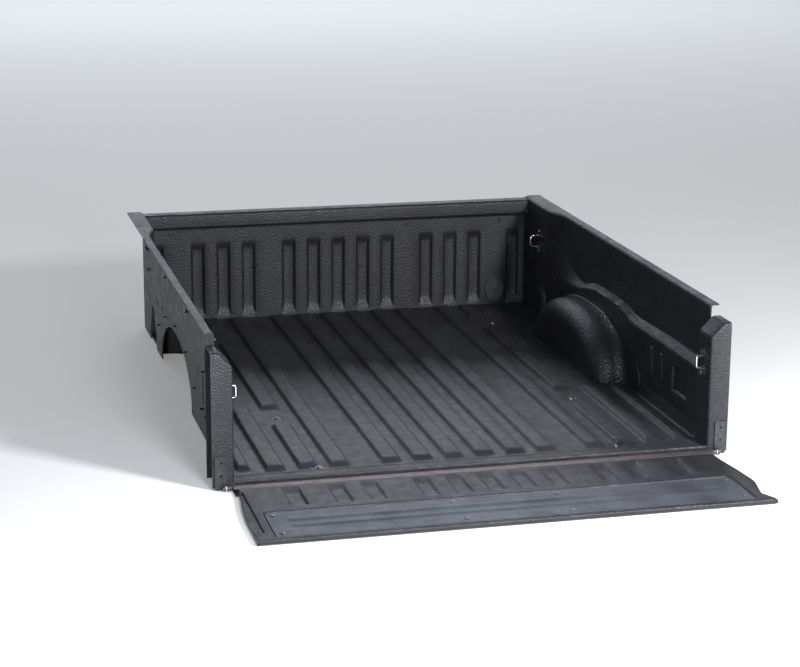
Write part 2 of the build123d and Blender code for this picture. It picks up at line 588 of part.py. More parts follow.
with BuildPart() as side_panel_right:
    loft(sections=[under_ledge(LOWER_X, 0, (0, 0), 0, SIDE_BOTTOM, WALL_TOP),
                   under_ledge(UPPER_X, 1, (0, 0), 0, SIDE_BOTTOM, WALL_TOP)], ruled=True)
    block(UPPER_X, UPPER_X + SHELL, rear_end, FRONT_Y, SIDE_BOTTOM, WALL_TOP)
    # hollow behind the lower wall, open below
    inside = LOWER_X + SHELL
    outside = UPPER_X + 2 * SHELL
    cavity = [under_ledge(x, (x - LOWER_X) / LEDGE_DEPTH, ledge_wall, SHELL,
                          SIDE_BOTTOM - SHELL, WALL_TOP - SHELL) for x in (inside, outside)]
    loft(sections=cavity, ruled=True, mode=Mode.SUBTRACT)
    block(UPPER_X, OUTER_X, rear_end, FRONT_Y, WALL_TOP - SHELL, WALL_TOP)

    # wheel arch opening behind the wheel cover
    extrude(arch_sketch(LOWER_X - SHELL, -ARCH_OVERLAP), amount=4 * SHELL, mode=Mode.SUBTRACT)
    block(LOWER_X - SHELL, LOWER_X + 2 * SHELL, HOUSING_Y - HOUSING_HALF_LENGTH + ARCH_OVERLAP,
          HOUSING_Y + HOUSING_HALF_LENGTH - ARCH_OVERLAP, 0, FLOOR_UNDER, Mode.SUBTRACT)

    # pressed details of the lower wall
    for y in bead_spots:
        bead(y, BEAD_BOTTOM, BEAD_TOP)
    for y in front_bead_spots:
        bead(y, FRONT_BEAD_BOTTOM, FRONT_BEAD_TOP)
    recess = (REAR_Y + ARCH_REAR - POCKET[0], REAR_Y + ARCH_REAR - POCKET[1],
              FLOOR_TOP + POCKET_BOTTOM, FLOOR_TOP + POCKET_TOP)
    formed_pad(lower_face, grown(recess, SHELL), 4 * (SHELL,), POCKET_DEPTH + SHELL)
    formed_pad(lower_face, recess, 4 * (SHELL,), POCKET_DEPTH, Mode.SUBTRACT)
    gusset_face = LOWER_X - GUSSET_DEPTH
    loft(sections=[gusset_area(LOWER_X, 0), gusset_area(gusset_face, -GUSSET_DRAFT)], ruled=True)
    loft(sections=[gusset_area(LOWER_X + SHELL, -SHELL),
                   gusset_area(gusset_face + SHELL, -GUSSET_DRAFT - SHELL)],
         ruled=True, mode=Mode.SUBTRACT)

    # holes for fasteners and for the rail screws
    for x, y, z in side_rivet_spots + arch_rivet_spots():
        rod(facing((x, y, z), (1, 0, 0)), RIVET_HOLE_R, 3 * SHELL, Mode.SUBTRACT)
    rod(facing(upper_rivet_spot, (1, 0, 0)), RIVET_HOLE_R, 2 * SHELL, Mode.SUBTRACT)
    loop_holes("front")
    for y in RAIL_HOLES:
        hole = ((UPPER_X + OUTER_X) / 2, REAR_Y + y, WALL_TOP - 2 * SHELL)
        rod(facing(hole, (0, 0, 1)), RAIL_HOLE_R, 3 * SHELL, Mode.SUBTRACT)

with BuildPart() as side_panel_left:
    mirror(side_panel_right.part, about=Plane.YZ)


# ---------------------------------------------------------------- wheel covers
def dome(inset):
    """Wheel cover's form with its skin moved inwards by inset."""
    with BuildPart(mode=Mode.PRIVATE) as form:
        near = HOUSING_X + inset
        extrude(arch_sketch(near, -inset), amount=LOWER_X - near)
        rim = form.faces().sort_by(Axis.X)[0].edges().sort_by(Axis.Z)[-1]
        fillet(rim, HOUSING_ROUND - inset)
    return form.part


with BuildPart() as wheel_cover_right:
    add(dome(0))
    add(dome(SHELL), mode=Mode.SUBTRACT)
    lip_plane = LOWER_X - SHELL
    extrude(half_ellipse(lip_plane, ARCH_Y, ARCH_HALF_LENGTH, ARCH_TOP), amount=SHELL)
    extrude(arch_sketch(lip_plane, -SHELL), amount=SHELL, mode=Mode.SUBTRACT)
    for rear, front in ((ARCH_REAR - ARCH_FLANGE, HOUSING_REAR), (HOUSING_FRONT, ARCH_FRONT + ARCH_FLANGE)):
        block(lip_plane, LOWER_X, REAR_Y + rear, REAR_Y + front, FLOOR_UNDER, FLOOR_TOP, Mode.SUBTRACT)
    # foot that is trapped under the floor
    foot_plane = Plane.XY.offset(FLOOR_UNDER - SHELL)
    extrude(housing_footprint(foot_plane, FOOT_FLANGE), amount=SHELL)
    extrude(housing_footprint(foot_plane, -SHELL), amount=SHELL, mode=Mode.SUBTRACT)
    for spot in arch_rivet_spots():
        rod(facing(spot, (1, 0, 0)), RIVET_HOLE_R, 2 * SHELL, Mode.SUBTRACT)

with BuildPart() as wheel_cover_left:
    mirror(wheel_cover_right.part, about=Plane.YZ)

# ---------------------------------------------------------------- rear post covers
post_top = FLOOR_TOP + POST_HEIGHT
post_shoulder = FLOOR_TOP + POST_SHOULDER
bracket_x = EAR_X + EAR_THICKNESS + BRACKET_WIDTH / 6
bracket_holes = [(bracket_x, REAR_Y, z) for z in BRACKET_HOLES]


def post_profile(y, inset):
    with BuildSketch(Plane.XZ.offset(-y)) as profile:
        with BuildLine():
            Polyline((POST_X + inset, SIDE_BOTTOM - inset), (POST_X + inset, post_shoulder - inset / 2),
                     (POST_X + POST_SLOPE_RUN + inset / 2, post_top - inset),
                     (OUTER_X + inset, post_top - inset), (OUTER_X + inset, SIDE_BOTTOM - inset),
                     close=True)
        make_face()
    return profile.sketch


with BuildPart() as rear_post_cover_right:
    extrude(post_profile(REAR_Y, 0), amount=-POST_DEPTH)
    extrude(post_profile(REAR_Y + SHELL, SHELL), amount=-(POST_DEPTH - 2 * SHELL), mode=Mode.SUBTRACT)
    for spot in bracket_holes:
        rod(facing(spot, (0, 1, 0)), BRACKET_HOLE_R, 2 * SHELL, Mode.SUBTRACT)
    loop_holes("rear")

with BuildPart() as rear_post_cover_left:
    mirror(rear_post_cover_right.part, about=Plane.YZ)

# ---------------------------------------------------------------- fasteners of the liner
with BuildPart() as rivet:
    rod(Plane.XY, RIVET_HEAD_R, RIVET_HEAD)
    fillet(rivet.edges().sort_by(Axis.Z)[-1], RIVET_HEAD / 2)
    rod(Plane.XY.offset(-RIVET_LENGTH), RIVET_R, RIVET_LENGTH)

with BuildPart() as small_rivet:
    rod(Plane.XY, SMALL_RIVET_HEAD_R, RIVET_HEAD)
    fillet(small_rivet.edges().sort_by(Axis.Z)[-1], RIVET_HEAD / 2)
    rod(Plane.XY.offset(-RIVET_LENGTH), RIVET_R, RIVET_LENGTH)

with BuildPart() as side_rivets_right:
    for spot in side_rivet_spots + [upper_rivet_spot]:
        with Locations(facing(spot, (-1, 0, 0))):
            add(rivet.part)

with BuildPart() as side_rivets_left:
    mirror(side_rivets_right.part, about=Plane.YZ)

with BuildPart() as wheel_cover_rivets_right:
    for spot in arch_rivet_spots():
        with Locations(facing(spot, (-1, 0, 0))):
            add(small_rivet.part)

with BuildPart() as wheel_cover_rivets_left:
    mirror(wheel_cover_rivets_right.part, about=Plane.YZ)

with BuildPart() as front_wall_rivets:
    for spot in wall_rivet_spots:
        with Locations(facing(spot, (0, -1, 0))):
            add(rivet.part)

with BuildPart() as floor_push_pins:
    for side in (-1, 1):
        head_level = FLOOR_TOP - REAR_STEP
        with Locations((side * (POST_X - PUSH_PIN_INSET), REAR_Y + PUSH_PIN_Y, head_level)):
            add(small_rivet.part)

seat_level = FLOOR_TOP - DISH_DEPTH
bolt_spots = [(side * x, REAR_Y + y) for x, y in BOLT_SPOTS for side in (-1, 1)]

with BuildPart() as floor_washer:
    tube(Plane.XY.offset(seat_level), WASHER_R, BOLT_NECK_R, WASHER_THICKNESS)

with BuildPart() as floor_bolt:
    head_level = seat_level + WASHER_THICKNESS
    rod(Plane.XY.offset(head_level), BOLT_HEAD_R, BOLT_HEAD_HEIGHT)
    fillet(floor_bolt.edges().sort_by(Axis.Z)[-1], BOLT_HEAD_HEIGHT / 2)
    with BuildSketch(Plane.XY.offset(head_level + BOLT_HEAD_HEIGHT)):
        RegularPolygon(BOLT_R, 6)
    extrude(amount=-BOLT_HEAD_HEIGHT * 0.6, mode=Mode.SUBTRACT)
    boss_level = FLOOR_UNDER - BOSS_DROP
    rod(Plane.XY.offset(boss_level), BOLT_NECK_R, head_level - boss_level)
    rod(Plane.XY.offset(GATE_BOTTOM), BOLT_R, boss_level - GATE_BOTTOM)

with BuildPart() as floor_washers:
    for x, y in bolt_spots:
        with Locations((x, y, 0)):
            add(floor_washer.part)

with BuildPart() as floor_bolts:
    for x, y in bolt_spots:
        with Locations((x, y, 0)):
            add(floor_bolt.part)

clip_top = WALL_TOP - SHELL
with BuildPart() as rail_clips_right:
    for y in RAIL_CLIPS:
        y1, y2 = REAR_Y + y - CLIP_LENGTH / 2, REAR_Y + y + CLIP_LENGTH / 2
        block(OUTER_X - CLIP_WIDTH, OUTER_X, y1, y2, clip_top - STEEL, clip_top)
        block(OUTER_X - STEEL, OUTER_X, y1, y2, clip_top - CLIP_DROP, clip_top)
        block(OUTER_X - CLIP_HOOK, OUTER_X, y1, y2, clip_top - CLIP_DROP, clip_top - CLIP_DROP + STEEL)

with BuildPart() as rail_clips_left:
    mirror(rail_clips_right.part, about=Plane.YZ)


# ---------------------------------------------------------------- tie-down loops
def loop_rod(x, y, z, height, reach, foot):
    """Bent rod with flat feet and studs, reaching inboard from the wall at x."""
    seat = x - GASKET
    corner = seat - reach
    low, high = z - height / 2, z + height / 2
    with BuildLine() as path:
        FilletPolyline((seat - LOOP_EAR / 2, y, low), (corner, y, low), (corner, y, high),
                       (seat - LOOP_EAR / 2, y, high), radius=LOOP_BEND_SHARE * reach)
    with BuildSketch(facing((seat - LOOP_EAR / 2, y, low), (-1, 0, 0))) as section:
        Circle(LOOP_ROD_R)
    sweep(section.sketch, path=path.line)
    for level, bolt_level in ((low, low - foot), (high, high + foot)):
        bottom, top = sorted((level, bolt_level))
        block(seat - LOOP_EAR, seat, y - LOOP_ROD_R, y + LOOP_ROD_R, bottom, top)
        rod(facing((seat, y, level), (-1, 0, 0)), LOOP_ROD_R, LOOP_EAR)
        rod(facing((seat, y, bolt_level), (-1, 0, 0)), LOOP_EAR_R, LOOP_EAR)
        rod(facing((seat, y, bolt_level), (1, 0, 0)), BOLT_R, LOOP_STUD)


with BuildPart() as tie_down_loop_front_right:
    loop_rod(*loop_spots["front"])
with BuildPart() as tie_down_loop_rear_right:
    loop_rod(*loop_spots["rear"])
with BuildPart() as tie_down_loop_front_left:
    mirror(tie_down_loop_front_right.part, about=Plane.YZ)
with BuildPart() as tie_down_loop_rear_left:
    mirror(tie_down_loop_rear_right.part, about=Plane.YZ)


def loop_ends():
    """Centre of each of the loops' eight ends on the wall's face, with its outward side."""
    for x, y, z, height, _, foot in loop_spots.values():
        for side in (-1, 1):
            for end in (-1, 1):
                yield side, (side * x, y, z + end * (height / 2 + foot))


with BuildPart() as tie_down_gaskets:
    for side, spot in loop_ends():
        tube(facing(spot, (-side, 0, 0)), LOOP_EAR_R + 1, BOLT_R, GASKET)

with BuildPart() as tie_down_nuts:
    for side, (x, y, z) in loop_ends():
        nut_plane = facing((x + side * SHELL, y, z), (side, 0, 0))
        with BuildSketch(nut_plane) as hexagon:
            RegularPolygon(NUT_ACROSS / 2, 6, major_radius=False)
            Circle(BOLT_R, mode=Mode.SUBTRACT)
        extrude(hexagon.sketch, amount=NUT_HEIGHT)

# ---------------------------------------------------------------- hinge, bed side
with BuildPart() as hinge_bracket_right:
    plate_x = (bracket_x - BRACKET_WIDTH / 2, bracket_x + BRACKET_WIDTH / 2)
    base = HINGE_Z - EAR_R
    block(*plate_x, REAR_Y - BRACKET_THICKNESS, REAR_Y, base, base + BRACKET_HEIGHT)
    with BuildSketch(Plane.YZ.offset(EAR_X)) as ear:
        with Locations((HINGE_Y, HINGE_Z)):
            Circle(EAR_R)
        with Locations(((HINGE_Y + REAR_Y) / 2, HINGE_Z)):
            Rectangle(HINGE_GAP, 2 * EAR_R)
    extrude(ear.sketch, amount=EAR_THICKNESS)
    rod(facing((EAR_X, HINGE_Y, HINGE_Z), (1, 0, 0)), PIN_R, EAR_THICKNESS, Mode.SUBTRACT)
    for x, y, z in bracket_holes:
        start = (x, y - BRACKET_THICKNESS, z)
        rod(facing(start, (0, 1, 0)), BRACKET_HOLE_R, BRACKET_THICKNESS, Mode.SUBTRACT)

with BuildPart() as hinge_bracket_left:
    mirror(hinge_bracket_right.part, about=Plane.YZ)

with BuildPart() as hinge_pin_right:
    pin_start = RAIL_END + EAR_GAP
    rod(facing((pin_start, HINGE_Y, HINGE_Z), (1, 0, 0)), PIN_R, EAR_X + EAR_THICKNESS - pin_start)
    rod(facing((EAR_X + EAR_THICKNESS, HINGE_Y, HINGE_Z), (1, 0, 0)), PIN_HEAD_R, PIN_HEAD)
    fillet(hinge_pin_right.edges().sort_by(Axis.X)[-1], PIN_HEAD / 3)

with BuildPart() as hinge_pin_left:
    mirror(hinge_pin_right.part, about=Plane.YZ)

# ---------------------------------------------------------------- hinge, tailgate side
knuckle_plane = facing((RAIL_END, HINGE_Y, HINGE_Z), (1, 0, 0))
knuckle_end = knuckle_plane.offset(KNUCKLE_LENGTH)

with BuildPart() as hinge_knuckle_right:
    tube(knuckle_plane, HEM_R, HEM_R - STEEL, KNUCKLE_LENGTH)

with BuildPart() as hinge_knuckle_left:
    mirror(hinge_knuckle_right.part, about=Plane.YZ)

with BuildPart() as hinge_bush_right:
    tube(knuckle_plane, HEM_R - STEEL, PIN_R + PIN_CLEARANCE, KNUCKLE_LENGTH)
    tube(knuckle_end, BUSH_COLLAR_R, PIN_R + PIN_CLEARANCE, BUSH_COLLAR)

with BuildPart() as hinge_bush_left:
    mirror(hinge_bush_right.part, about=Plane.YZ)

with BuildPart() as tailgate_hinge_rail:
    top_end = HINGE_Y - TAILGATE_START
    bottom_end = top_end - RAIL_LAP
    with BuildSketch(Plane.YZ.offset(-RAIL_END)) as hem:
        with Locations((HINGE_Y, HINGE_Z)):
            Circle(HEM_R)
        with Locations(((HINGE_Y + top_end) / 2, HINGE_Z)):
            Rectangle(HINGE_Y - top_end, 2 * HEM_R)
        with Locations(((HINGE_Y + bottom_end) / 2, HINGE_Z - HEM_R + STEEL / 2)):
            Rectangle(HINGE_Y - bottom_end, STEEL)
        with Locations((HINGE_Y, HINGE_Z)):
            Circle(HEM_R - STEEL, mode=Mode.SUBTRACT)
        with Locations(((HINGE_Y + top_end) / 2, HINGE_Z)):
            Rectangle(HINGE_Y - top_end, 2 * (HEM_R - STEEL), mode=Mode.SUBTRACT)
    extrude(amount=2 * RAIL_END)

# ---------------------------------------------------------------- tailgate panel
gate_front = HINGE_Y - TAILGATE_START
gate_rear = HINGE_Y - TAILGATE_REACH
taper = [(GATE_X - inset, HINGE_Y - y) for y, inset in TAILGATE_TAPER]


def gate_outline(plane, inset):
    """Tailgate outline with a latch notch in its right side."""
    front, rear = (POST_X, gate_front), (GATE_X, gate_rear)
    notch = [(GATE_X, HINGE_Y - NOTCH_START), (GATE_X - TAILGATE_NOTCH, HINGE_Y - NOTCH_FLOOR),
             (GATE_X, HINGE_Y - NOTCH_END)]
    left = [(-x, y) for x, y in (rear, *reversed(taper), front)]
    tapered = {round(y, 3) for _, y in taper}
    with BuildSketch(plane) as outline:
        with BuildLine():
            Polyline(front, *taper, *notch, rear, *left, close=True)
        make_face()
        fillet([v for v in outline.vertices() if round(v.Y, 3) not in tapered], GATE_CORNER)
        if inset:
            offset(amount=-inset, mode=Mode.REPLACE)
    return outline.sketch


def side_strip(level, near, height, mode):
    """Part of the tailgate's outline outboard of near on both sides, from a level upwards."""
    start, end = SIDE_STRIP
    with BuildSketch(Plane.XY.offset(level)) as strip:
        add(gate_outline(Plane.XY, 0))
        with Locations(*[(side * (near + GATE_X), HINGE_Y - (start + end) / 2) for side in (-1, 1)]):
            Rectangle(2 * GATE_X, end - start, mode=Mode.INTERSECT)
    extrude(strip.sketch, amount=height, mode=mode)


def gate_flute(x, width, spread, depth, mode):
    half = width / 2 + spread
    mouth = (x - half, x + half, HINGE_Y - GATE_FLUTE_END - spread, HINGE_Y - GATE_FLUTE_START + spread)
    slopes = (FLUTE_SIDE_SLOPE, FLUTE_SIDE_SLOPE, SHELL, GATE_FLUTE_FACET)
    formed_pad(Plane.XY.offset(GATE_TOP), mouth, slopes, -depth, mode)


def cover_bay(level, spread, height, mode):
    """Rounded bay of the access cover, spread outwards, from a level upwards."""
    with BuildSketch(Plane.XY.offset(level)) as bay:
        with Locations((0, HINGE_Y - (COVER_BAY_START + COVER_BAY_END) / 2)):
            RectangleRounded(2 * (BAY_X + spread),
                             COVER_BAY_END - COVER_BAY_START + 2 * spread, COVER_CORNER + spread)
    extrude(bay.sketch, amount=height, mode=mode)


gate_flutes = [(x, FLUTE_WIDTH) for x in sorted({s * x for x in GATE_FLUTES for s in (-1, 1)})]
gate_flutes += [(x, GATE_WIDE_FLUTE_WIDTH) for x in both_sides((GATE_WIDE_FLUTE,))]
screw_columns = both_sides((INNER_SCREWS, BAY_X - SCREW_MARGIN))
screw_spots = [(x, HINGE_Y - y) for x in screw_columns for y in SCREW_ROWS]
bar_bottom = GATE_BOTTOM

with BuildPart() as tailgate_panel:
    extrude(gate_outline(Plane.XY.offset(GATE_UNDER), 0), amount=SHELL)
    with BuildSketch(Plane.XY.offset(GATE_BOTTOM)) as skirt:
        add(gate_outline(Plane.XY, 0))
        add(gate_outline(Plane.XY, SHELL), mode=Mode.SUBTRACT)
    extrude(skirt.sketch, amount=GATE_UNDER - GATE_BOTTOM)
    for x, width in gate_flutes:
        gate_flute(x, width, SHELL, GATE_FLUTE_DEPTH + SHELL, Mode.ADD)
    for x, width in gate_flutes:
        gate_flute(x, width, 0, GATE_FLUTE_DEPTH, Mode.SUBTRACT)
    cover_bay(BAY_FLOOR - SHELL, SHELL, COVER_BAY_DEPTH, Mode.ADD)
    cover_bay(BAY_FLOOR, 0, COVER_BAY_DEPTH, Mode.SUBTRACT)
    side_strip(GATE_UNDER - STRIP_DROP, STRIP_X - SHELL, STRIP_DROP, Mode.ADD)
    side_strip(GATE_TOP - STRIP_DROP, STRIP_X, STRIP_DROP, Mode.SUBTRACT)
    for x, y in screw_spots:
        rod(facing((x, y, 0), (0, 0, 1)), SCREW_R, GATE_TOP, Mode.SUBTRACT)

# ---------------------------------------------------------------- access cover and its screws
with BuildPart() as tailgate_access_cover:
    cover_bay(BAY_FLOOR, -COVER_GAP, COVER_HEIGHT, Mode.ADD)
    cover_bay(BAY_FLOOR, -COVER_GAP - COVER_RIM, COVER_HEIGHT - COVER_WALL, Mode.SUBTRACT)
    bead_end = BAY_X - COVER_BEAD_MARGIN
    for y in COVER_BEADS:
        bead = (-bead_end, bead_end,
                HINGE_Y - y - COVER_BEAD_WIDTH / 2, HINGE_Y - y + COVER_BEAD_WIDTH / 2)
        formed_pad(Plane.XY.offset(COVER_TOP), bead, 4 * (2 * COVER_BEAD_HEIGHT,), COVER_BEAD_HEIGHT)
    for x, y in screw_spots:
        rod(facing((x, y, BAY_FLOOR), (0, 0, 1)), COVER_RIM, COVER_HEIGHT - COVER_WALL)
    for x, y in screw_spots:
        rod(facing((x, y, BAY_FLOOR), (0, 0, 1)), SCREW_R, COVER_HEIGHT, Mode.SUBTRACT)

with BuildPart() as screw:
    rod(Plane.XY.offset(COVER_TOP), SCREW_HEAD_R, SCREW_HEAD_HEIGHT)
    fillet(screw.edges().sort_by(Axis.Z)[-1], SCREW_HEAD_HEIGHT / 2)
    with BuildSketch(Plane.XY.offset(COVER_TOP + SCREW_HEAD_HEIGHT)):
        Rectangle(SCREW_HEAD_R, STEEL / 2)
        Rectangle(STEEL / 2, SCREW_HEAD_R)
    extrude(amount=-SCREW_HEAD_HEIGHT / 2, mode=Mode.SUBTRACT)
    rod(Plane.XY.offset(bar_bottom), SCREW_R, COVER_TOP - bar_bottom)

with BuildPart() as access_cover_screws:
    for x, y in screw_spots:
        with Locations((x, y, 0)):
            add(screw.part)

# ---------------------------------------------------------------- tailgate side frames
with BuildPart() as tailgate_side_frame_right:
    half_bar = FRAME_BAR_WIDTH / 2
    bar_front = gate_front - SHELL - HOUSING_CLEARANCE
    bar_rear = gate_rear + SHELL + HOUSING_CLEARANCE
    block(FRAME_BAR_X - half_bar, FRAME_BAR_X + half_bar, bar_rear, bar_front, bar_bottom, GATE_UNDER)
    block(FRAME_BAR_X - half_bar, FRAME_BAR_X + half_bar, bar_rear, bottom_end - HOUSING_CLEARANCE,
          bar_bottom, bar_bottom + STEEL, Mode.SUBTRACT)

with BuildPart() as tailgate_side_frame_left:
    mirror(tailgate_side_frame_right.part, about=Plane.YZ)

pieces = {
    "floor_panel": floor_panel,
    "floor_underlay": floor_underlay,
    "floor_bolts": floor_bolts,
    "floor_washers": floor_washers,
    "floor_push_pins": floor_push_pins,
    "front_wall_panel": front_wall_panel,
    "front_top_cap": front_top_cap,
    "front_wall_badge": front_wall_badge,
    "front_wall_rivets": front_wall_rivets,
    "side_panel_left": side_panel_left,
    "side_panel_right": side_panel_right,
    "side_rivets_left": side_rivets_left,
    "side_rivets_right": side_rivets_right,
    "wheel_cover_left": wheel_cover_left,
    "wheel_cover_right": wheel_cover_right,
    "wheel_cover_rivets_left": wheel_cover_rivets_left,
    "wheel_cover_rivets_right": wheel_cover_rivets_right,
    "rear_post_cover_left": rear_post_cover_left,
    "rear_post_cover_right": rear_post_cover_right,
    "rail_clips_left": rail_clips_left,
    "rail_clips_right": rail_clips_right,
    "tie_down_loop_front_left": tie_down_loop_front_left,
    "tie_down_loop_front_right": tie_down_loop_front_right,
    "tie_down_loop_rear_left": tie_down_loop_rear_left,
    "tie_down_loop_rear_right": tie_down_loop_rear_right,
    "tie_down_gaskets": tie_down_gaskets,
    "tie_down_nuts": tie_down_nuts,
    "hinge_bracket_left": hinge_bracket_left,
    "hinge_bracket_right": hinge_bracket_right,
    "hinge_pin_left": hinge_pin_left,
    "hinge_pin_right": hinge_pin_right,
    "hinge_knuckle_left": hinge_knuckle_left,
    "hinge_knuckle_right": hinge_knuckle_right,
    "hinge_bush_left": hinge_bush_left,
    "hinge_bush_right": hinge_bush_right,
    "tailgate_hinge_rail": tailgate_hinge_rail,
    "tailgate_panel": tailgate_panel,
    "tailgate_access_cover": tailgate_access_cover,
    "access_cover_screws": access_cover_screws,
    "tailgate_side_frame_left": tailgate_side_frame_left,
    "tailgate_side_frame_right": tailgate_side_frame_right,
}
for name, piece in pieces.items():
    piece.part.label = name
    export_step(piece.part, f"parts/{name}.step")
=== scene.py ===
import json
import math
import random

import bmesh
import bpy
import numpy as np
from mathutils import Matrix, Vector


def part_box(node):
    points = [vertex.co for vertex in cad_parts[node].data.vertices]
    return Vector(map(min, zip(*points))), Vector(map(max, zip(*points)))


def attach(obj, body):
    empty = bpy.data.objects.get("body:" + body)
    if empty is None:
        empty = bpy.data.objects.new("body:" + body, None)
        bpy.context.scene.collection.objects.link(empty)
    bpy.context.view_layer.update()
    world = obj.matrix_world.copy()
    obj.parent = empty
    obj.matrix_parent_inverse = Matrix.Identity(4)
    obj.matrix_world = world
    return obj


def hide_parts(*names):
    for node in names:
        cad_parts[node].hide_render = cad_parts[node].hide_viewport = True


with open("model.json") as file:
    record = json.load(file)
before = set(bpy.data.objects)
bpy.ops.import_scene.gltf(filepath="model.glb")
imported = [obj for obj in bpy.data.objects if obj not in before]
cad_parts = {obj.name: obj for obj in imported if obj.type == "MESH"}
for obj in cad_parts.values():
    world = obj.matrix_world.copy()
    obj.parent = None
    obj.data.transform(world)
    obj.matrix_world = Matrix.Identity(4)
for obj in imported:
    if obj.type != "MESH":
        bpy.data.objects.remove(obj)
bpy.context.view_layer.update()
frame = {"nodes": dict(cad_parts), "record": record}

# Lengths in this script are millimetres in the CAD frame; to_mesh() turns them into metres.
# +X is the vehicle's right side, +Y points to the cab, +Z is up.


def box_mm(node):
    low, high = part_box(node)
    return Vector(low) * 1000, Vector(high) * 1000


# ---------------------------------------------------------------- places read from the frame
SHELL = 4.0
floor_low, floor_high = box_mm("floor_panel")
wall_low, wall_high = box_mm("front_wall_panel")
side_low, side_high = box_mm("side_panel_right")
post_low, post_high = box_mm("rear_post_cover_right")
dome_low, dome_high = box_mm("wheel_cover_right")
cap_low, cap_high = box_mm("front_top_cap")
gate_low, gate_high = box_mm("tailgate_panel")

KICK_HEIGHT = 42.0
REAR_Y = floor_low.y
FRONT_Y = floor_high.y
FLOOR_TOP = floor_high.z - KICK_HEIGHT
LOWER_X = dome_high.x
OUTER_X = side_high.x
WALL_TOP = side_high.z
POST_X = post_low.x
POST_END_Y = post_high.y
ARCH_LIP = 14.0
FOOT_LIP = 20.0
LEDGE_DEPTH, SHOULDER_DEPTH = 26.0, 5.0
UPPER_X = LOWER_X + LEDGE_DEPTH
HOUSING_X = dome_low.x + FOOT_LIP
ARCH_BEHIND, ARCH_AHEAD = 137.0, 106.0
HOUSING_Y = (dome_low.y + ARCH_BEHIND + dome_high.y - ARCH_AHEAD) / 2
HOUSING_HALF = (dome_high.y - ARCH_AHEAD - dome_low.y - ARCH_BEHIND) / 2
ARCH_Y = (dome_low.y + dome_high.y) / 2
ARCH_HALF = (dome_high.y - dome_low.y) / 2
HOUSING_TOP = dome_high.z - ARCH_LIP
FLOOR_UNDER = FLOOR_TOP - SHELL
HINGE_Y = REAR_Y - 16.0
GATE_TOP = gate_high.z
COVER_BEAD_HEIGHT = 4.0
COVER_TOP = box_mm("tailgate_access_cover")[1].z - COVER_BEAD_HEIGHT
SMOOTH_ANGLE = math.radians(38)


# ---------------------------------------------------------------- formed-sheet toolkit
def soft_relu(x, k):
    return np.where(x < -k, 0.0, np.where(x > k, x, (x + k) ** 2 / (4 * k)))


def clamp01(t, k=0.28):
    """Ramp from 0 to 1 with rounded corners."""
    return np.clip(soft_relu(t, k) - soft_relu(t - 1, k), 0, 1)


def soft_min(a, b, k=0.25):
    h = np.clip(0.5 + 0.5 * (b - a) / k, 0, 1)
    return b * (1 - h) + a * h - k * h * (1 - h)


def pad(u, v, rect, slopes, k=0.28):
    """Raised pad from 0 outside rectangle rect (u1, u2, v1, v2) to 1 inside its slopes."""
    u1, u2, v1, v2 = rect
    t = soft_min((u - u1) / slopes[0], (u2 - u) / slopes[1])
    t = soft_min(t, soft_min((v - v1) / slopes[2], (v2 - v) / slopes[3]))
    return clamp01(t, k)


def disc(u, v, centre, radius, slope):
    return clamp01((radius - np.hypot(u - centre[0], v - centre[1])) / slope)


def ripple(u, v, seed, size=0.5, longest=700.0, shortest=160.0):
    """Slight waviness of a moulded sheet."""
    draw = random.Random(seed)
    total = np.zeros_like(u)
    for _ in range(7):
        wave = draw.uniform(shortest, longest)
        angle = draw.uniform(0, math.pi)
        phase = draw.uniform(0, 2 * math.pi)
        total += np.sin((u * math.cos(angle) + v * math.sin(angle)) * 2 * math.pi / wave + phase)
    return total * size / 7


def lines(start, end, step, marks=()):
    """Grid lines from start to end about step apart, plus the marks, none closer than 0.8."""
    count = max(2, int(math.ceil((end - start) / step)) + 1)
    values = [(v, 1) for v in np.linspace(start, end, count)]
    values += [(v, 0) for v in marks if start < v < end]
    values += [(start, -1), (end, -1)]
    kept = []
    for value, rank in sorted(values, key=lambda p: (p[1], p[0])):
        gap = 0.8 if rank < 1 else step * 0.3
        if all(abs(value - other) > gap for other in kept):
            kept.append(value)
    return np.array(sorted(kept))


def edge_marks(centre, foot, top, per_side=6):
    """Lines across a slope that runs from foot to top, both distances from the centre."""
    spread = abs(foot - top)
    low, high = min(foot, top) - 0.22 * spread, max(foot, top) + 0.22 * spread
    steps = np.linspace(low, high, per_side)
    return [centre + s * d for d in steps for s in (-1, 1)]


def span_marks(low, high, count):
    margin = 0.2 * (high - low)
    return list(np.linspace(low - margin, high + margin, count))


def add(name, data):
    """New object of the data, linked to the scene."""
    thing = bpy.data.objects.new(name, data)
    bpy.context.scene.collection.objects.link(thing)
    return thing


def to_mesh(name, points, faces):
    mesh = bpy.data.meshes.new(name)
    mesh.from_pydata([tuple(p) for p in np.asarray(points) * 0.001], [], faces)
    mesh.validate()
    mesh.shade_smooth()
    mesh.set_sharp_from_angle(angle=SMOOTH_ANGLE)
    return add(name, mesh)


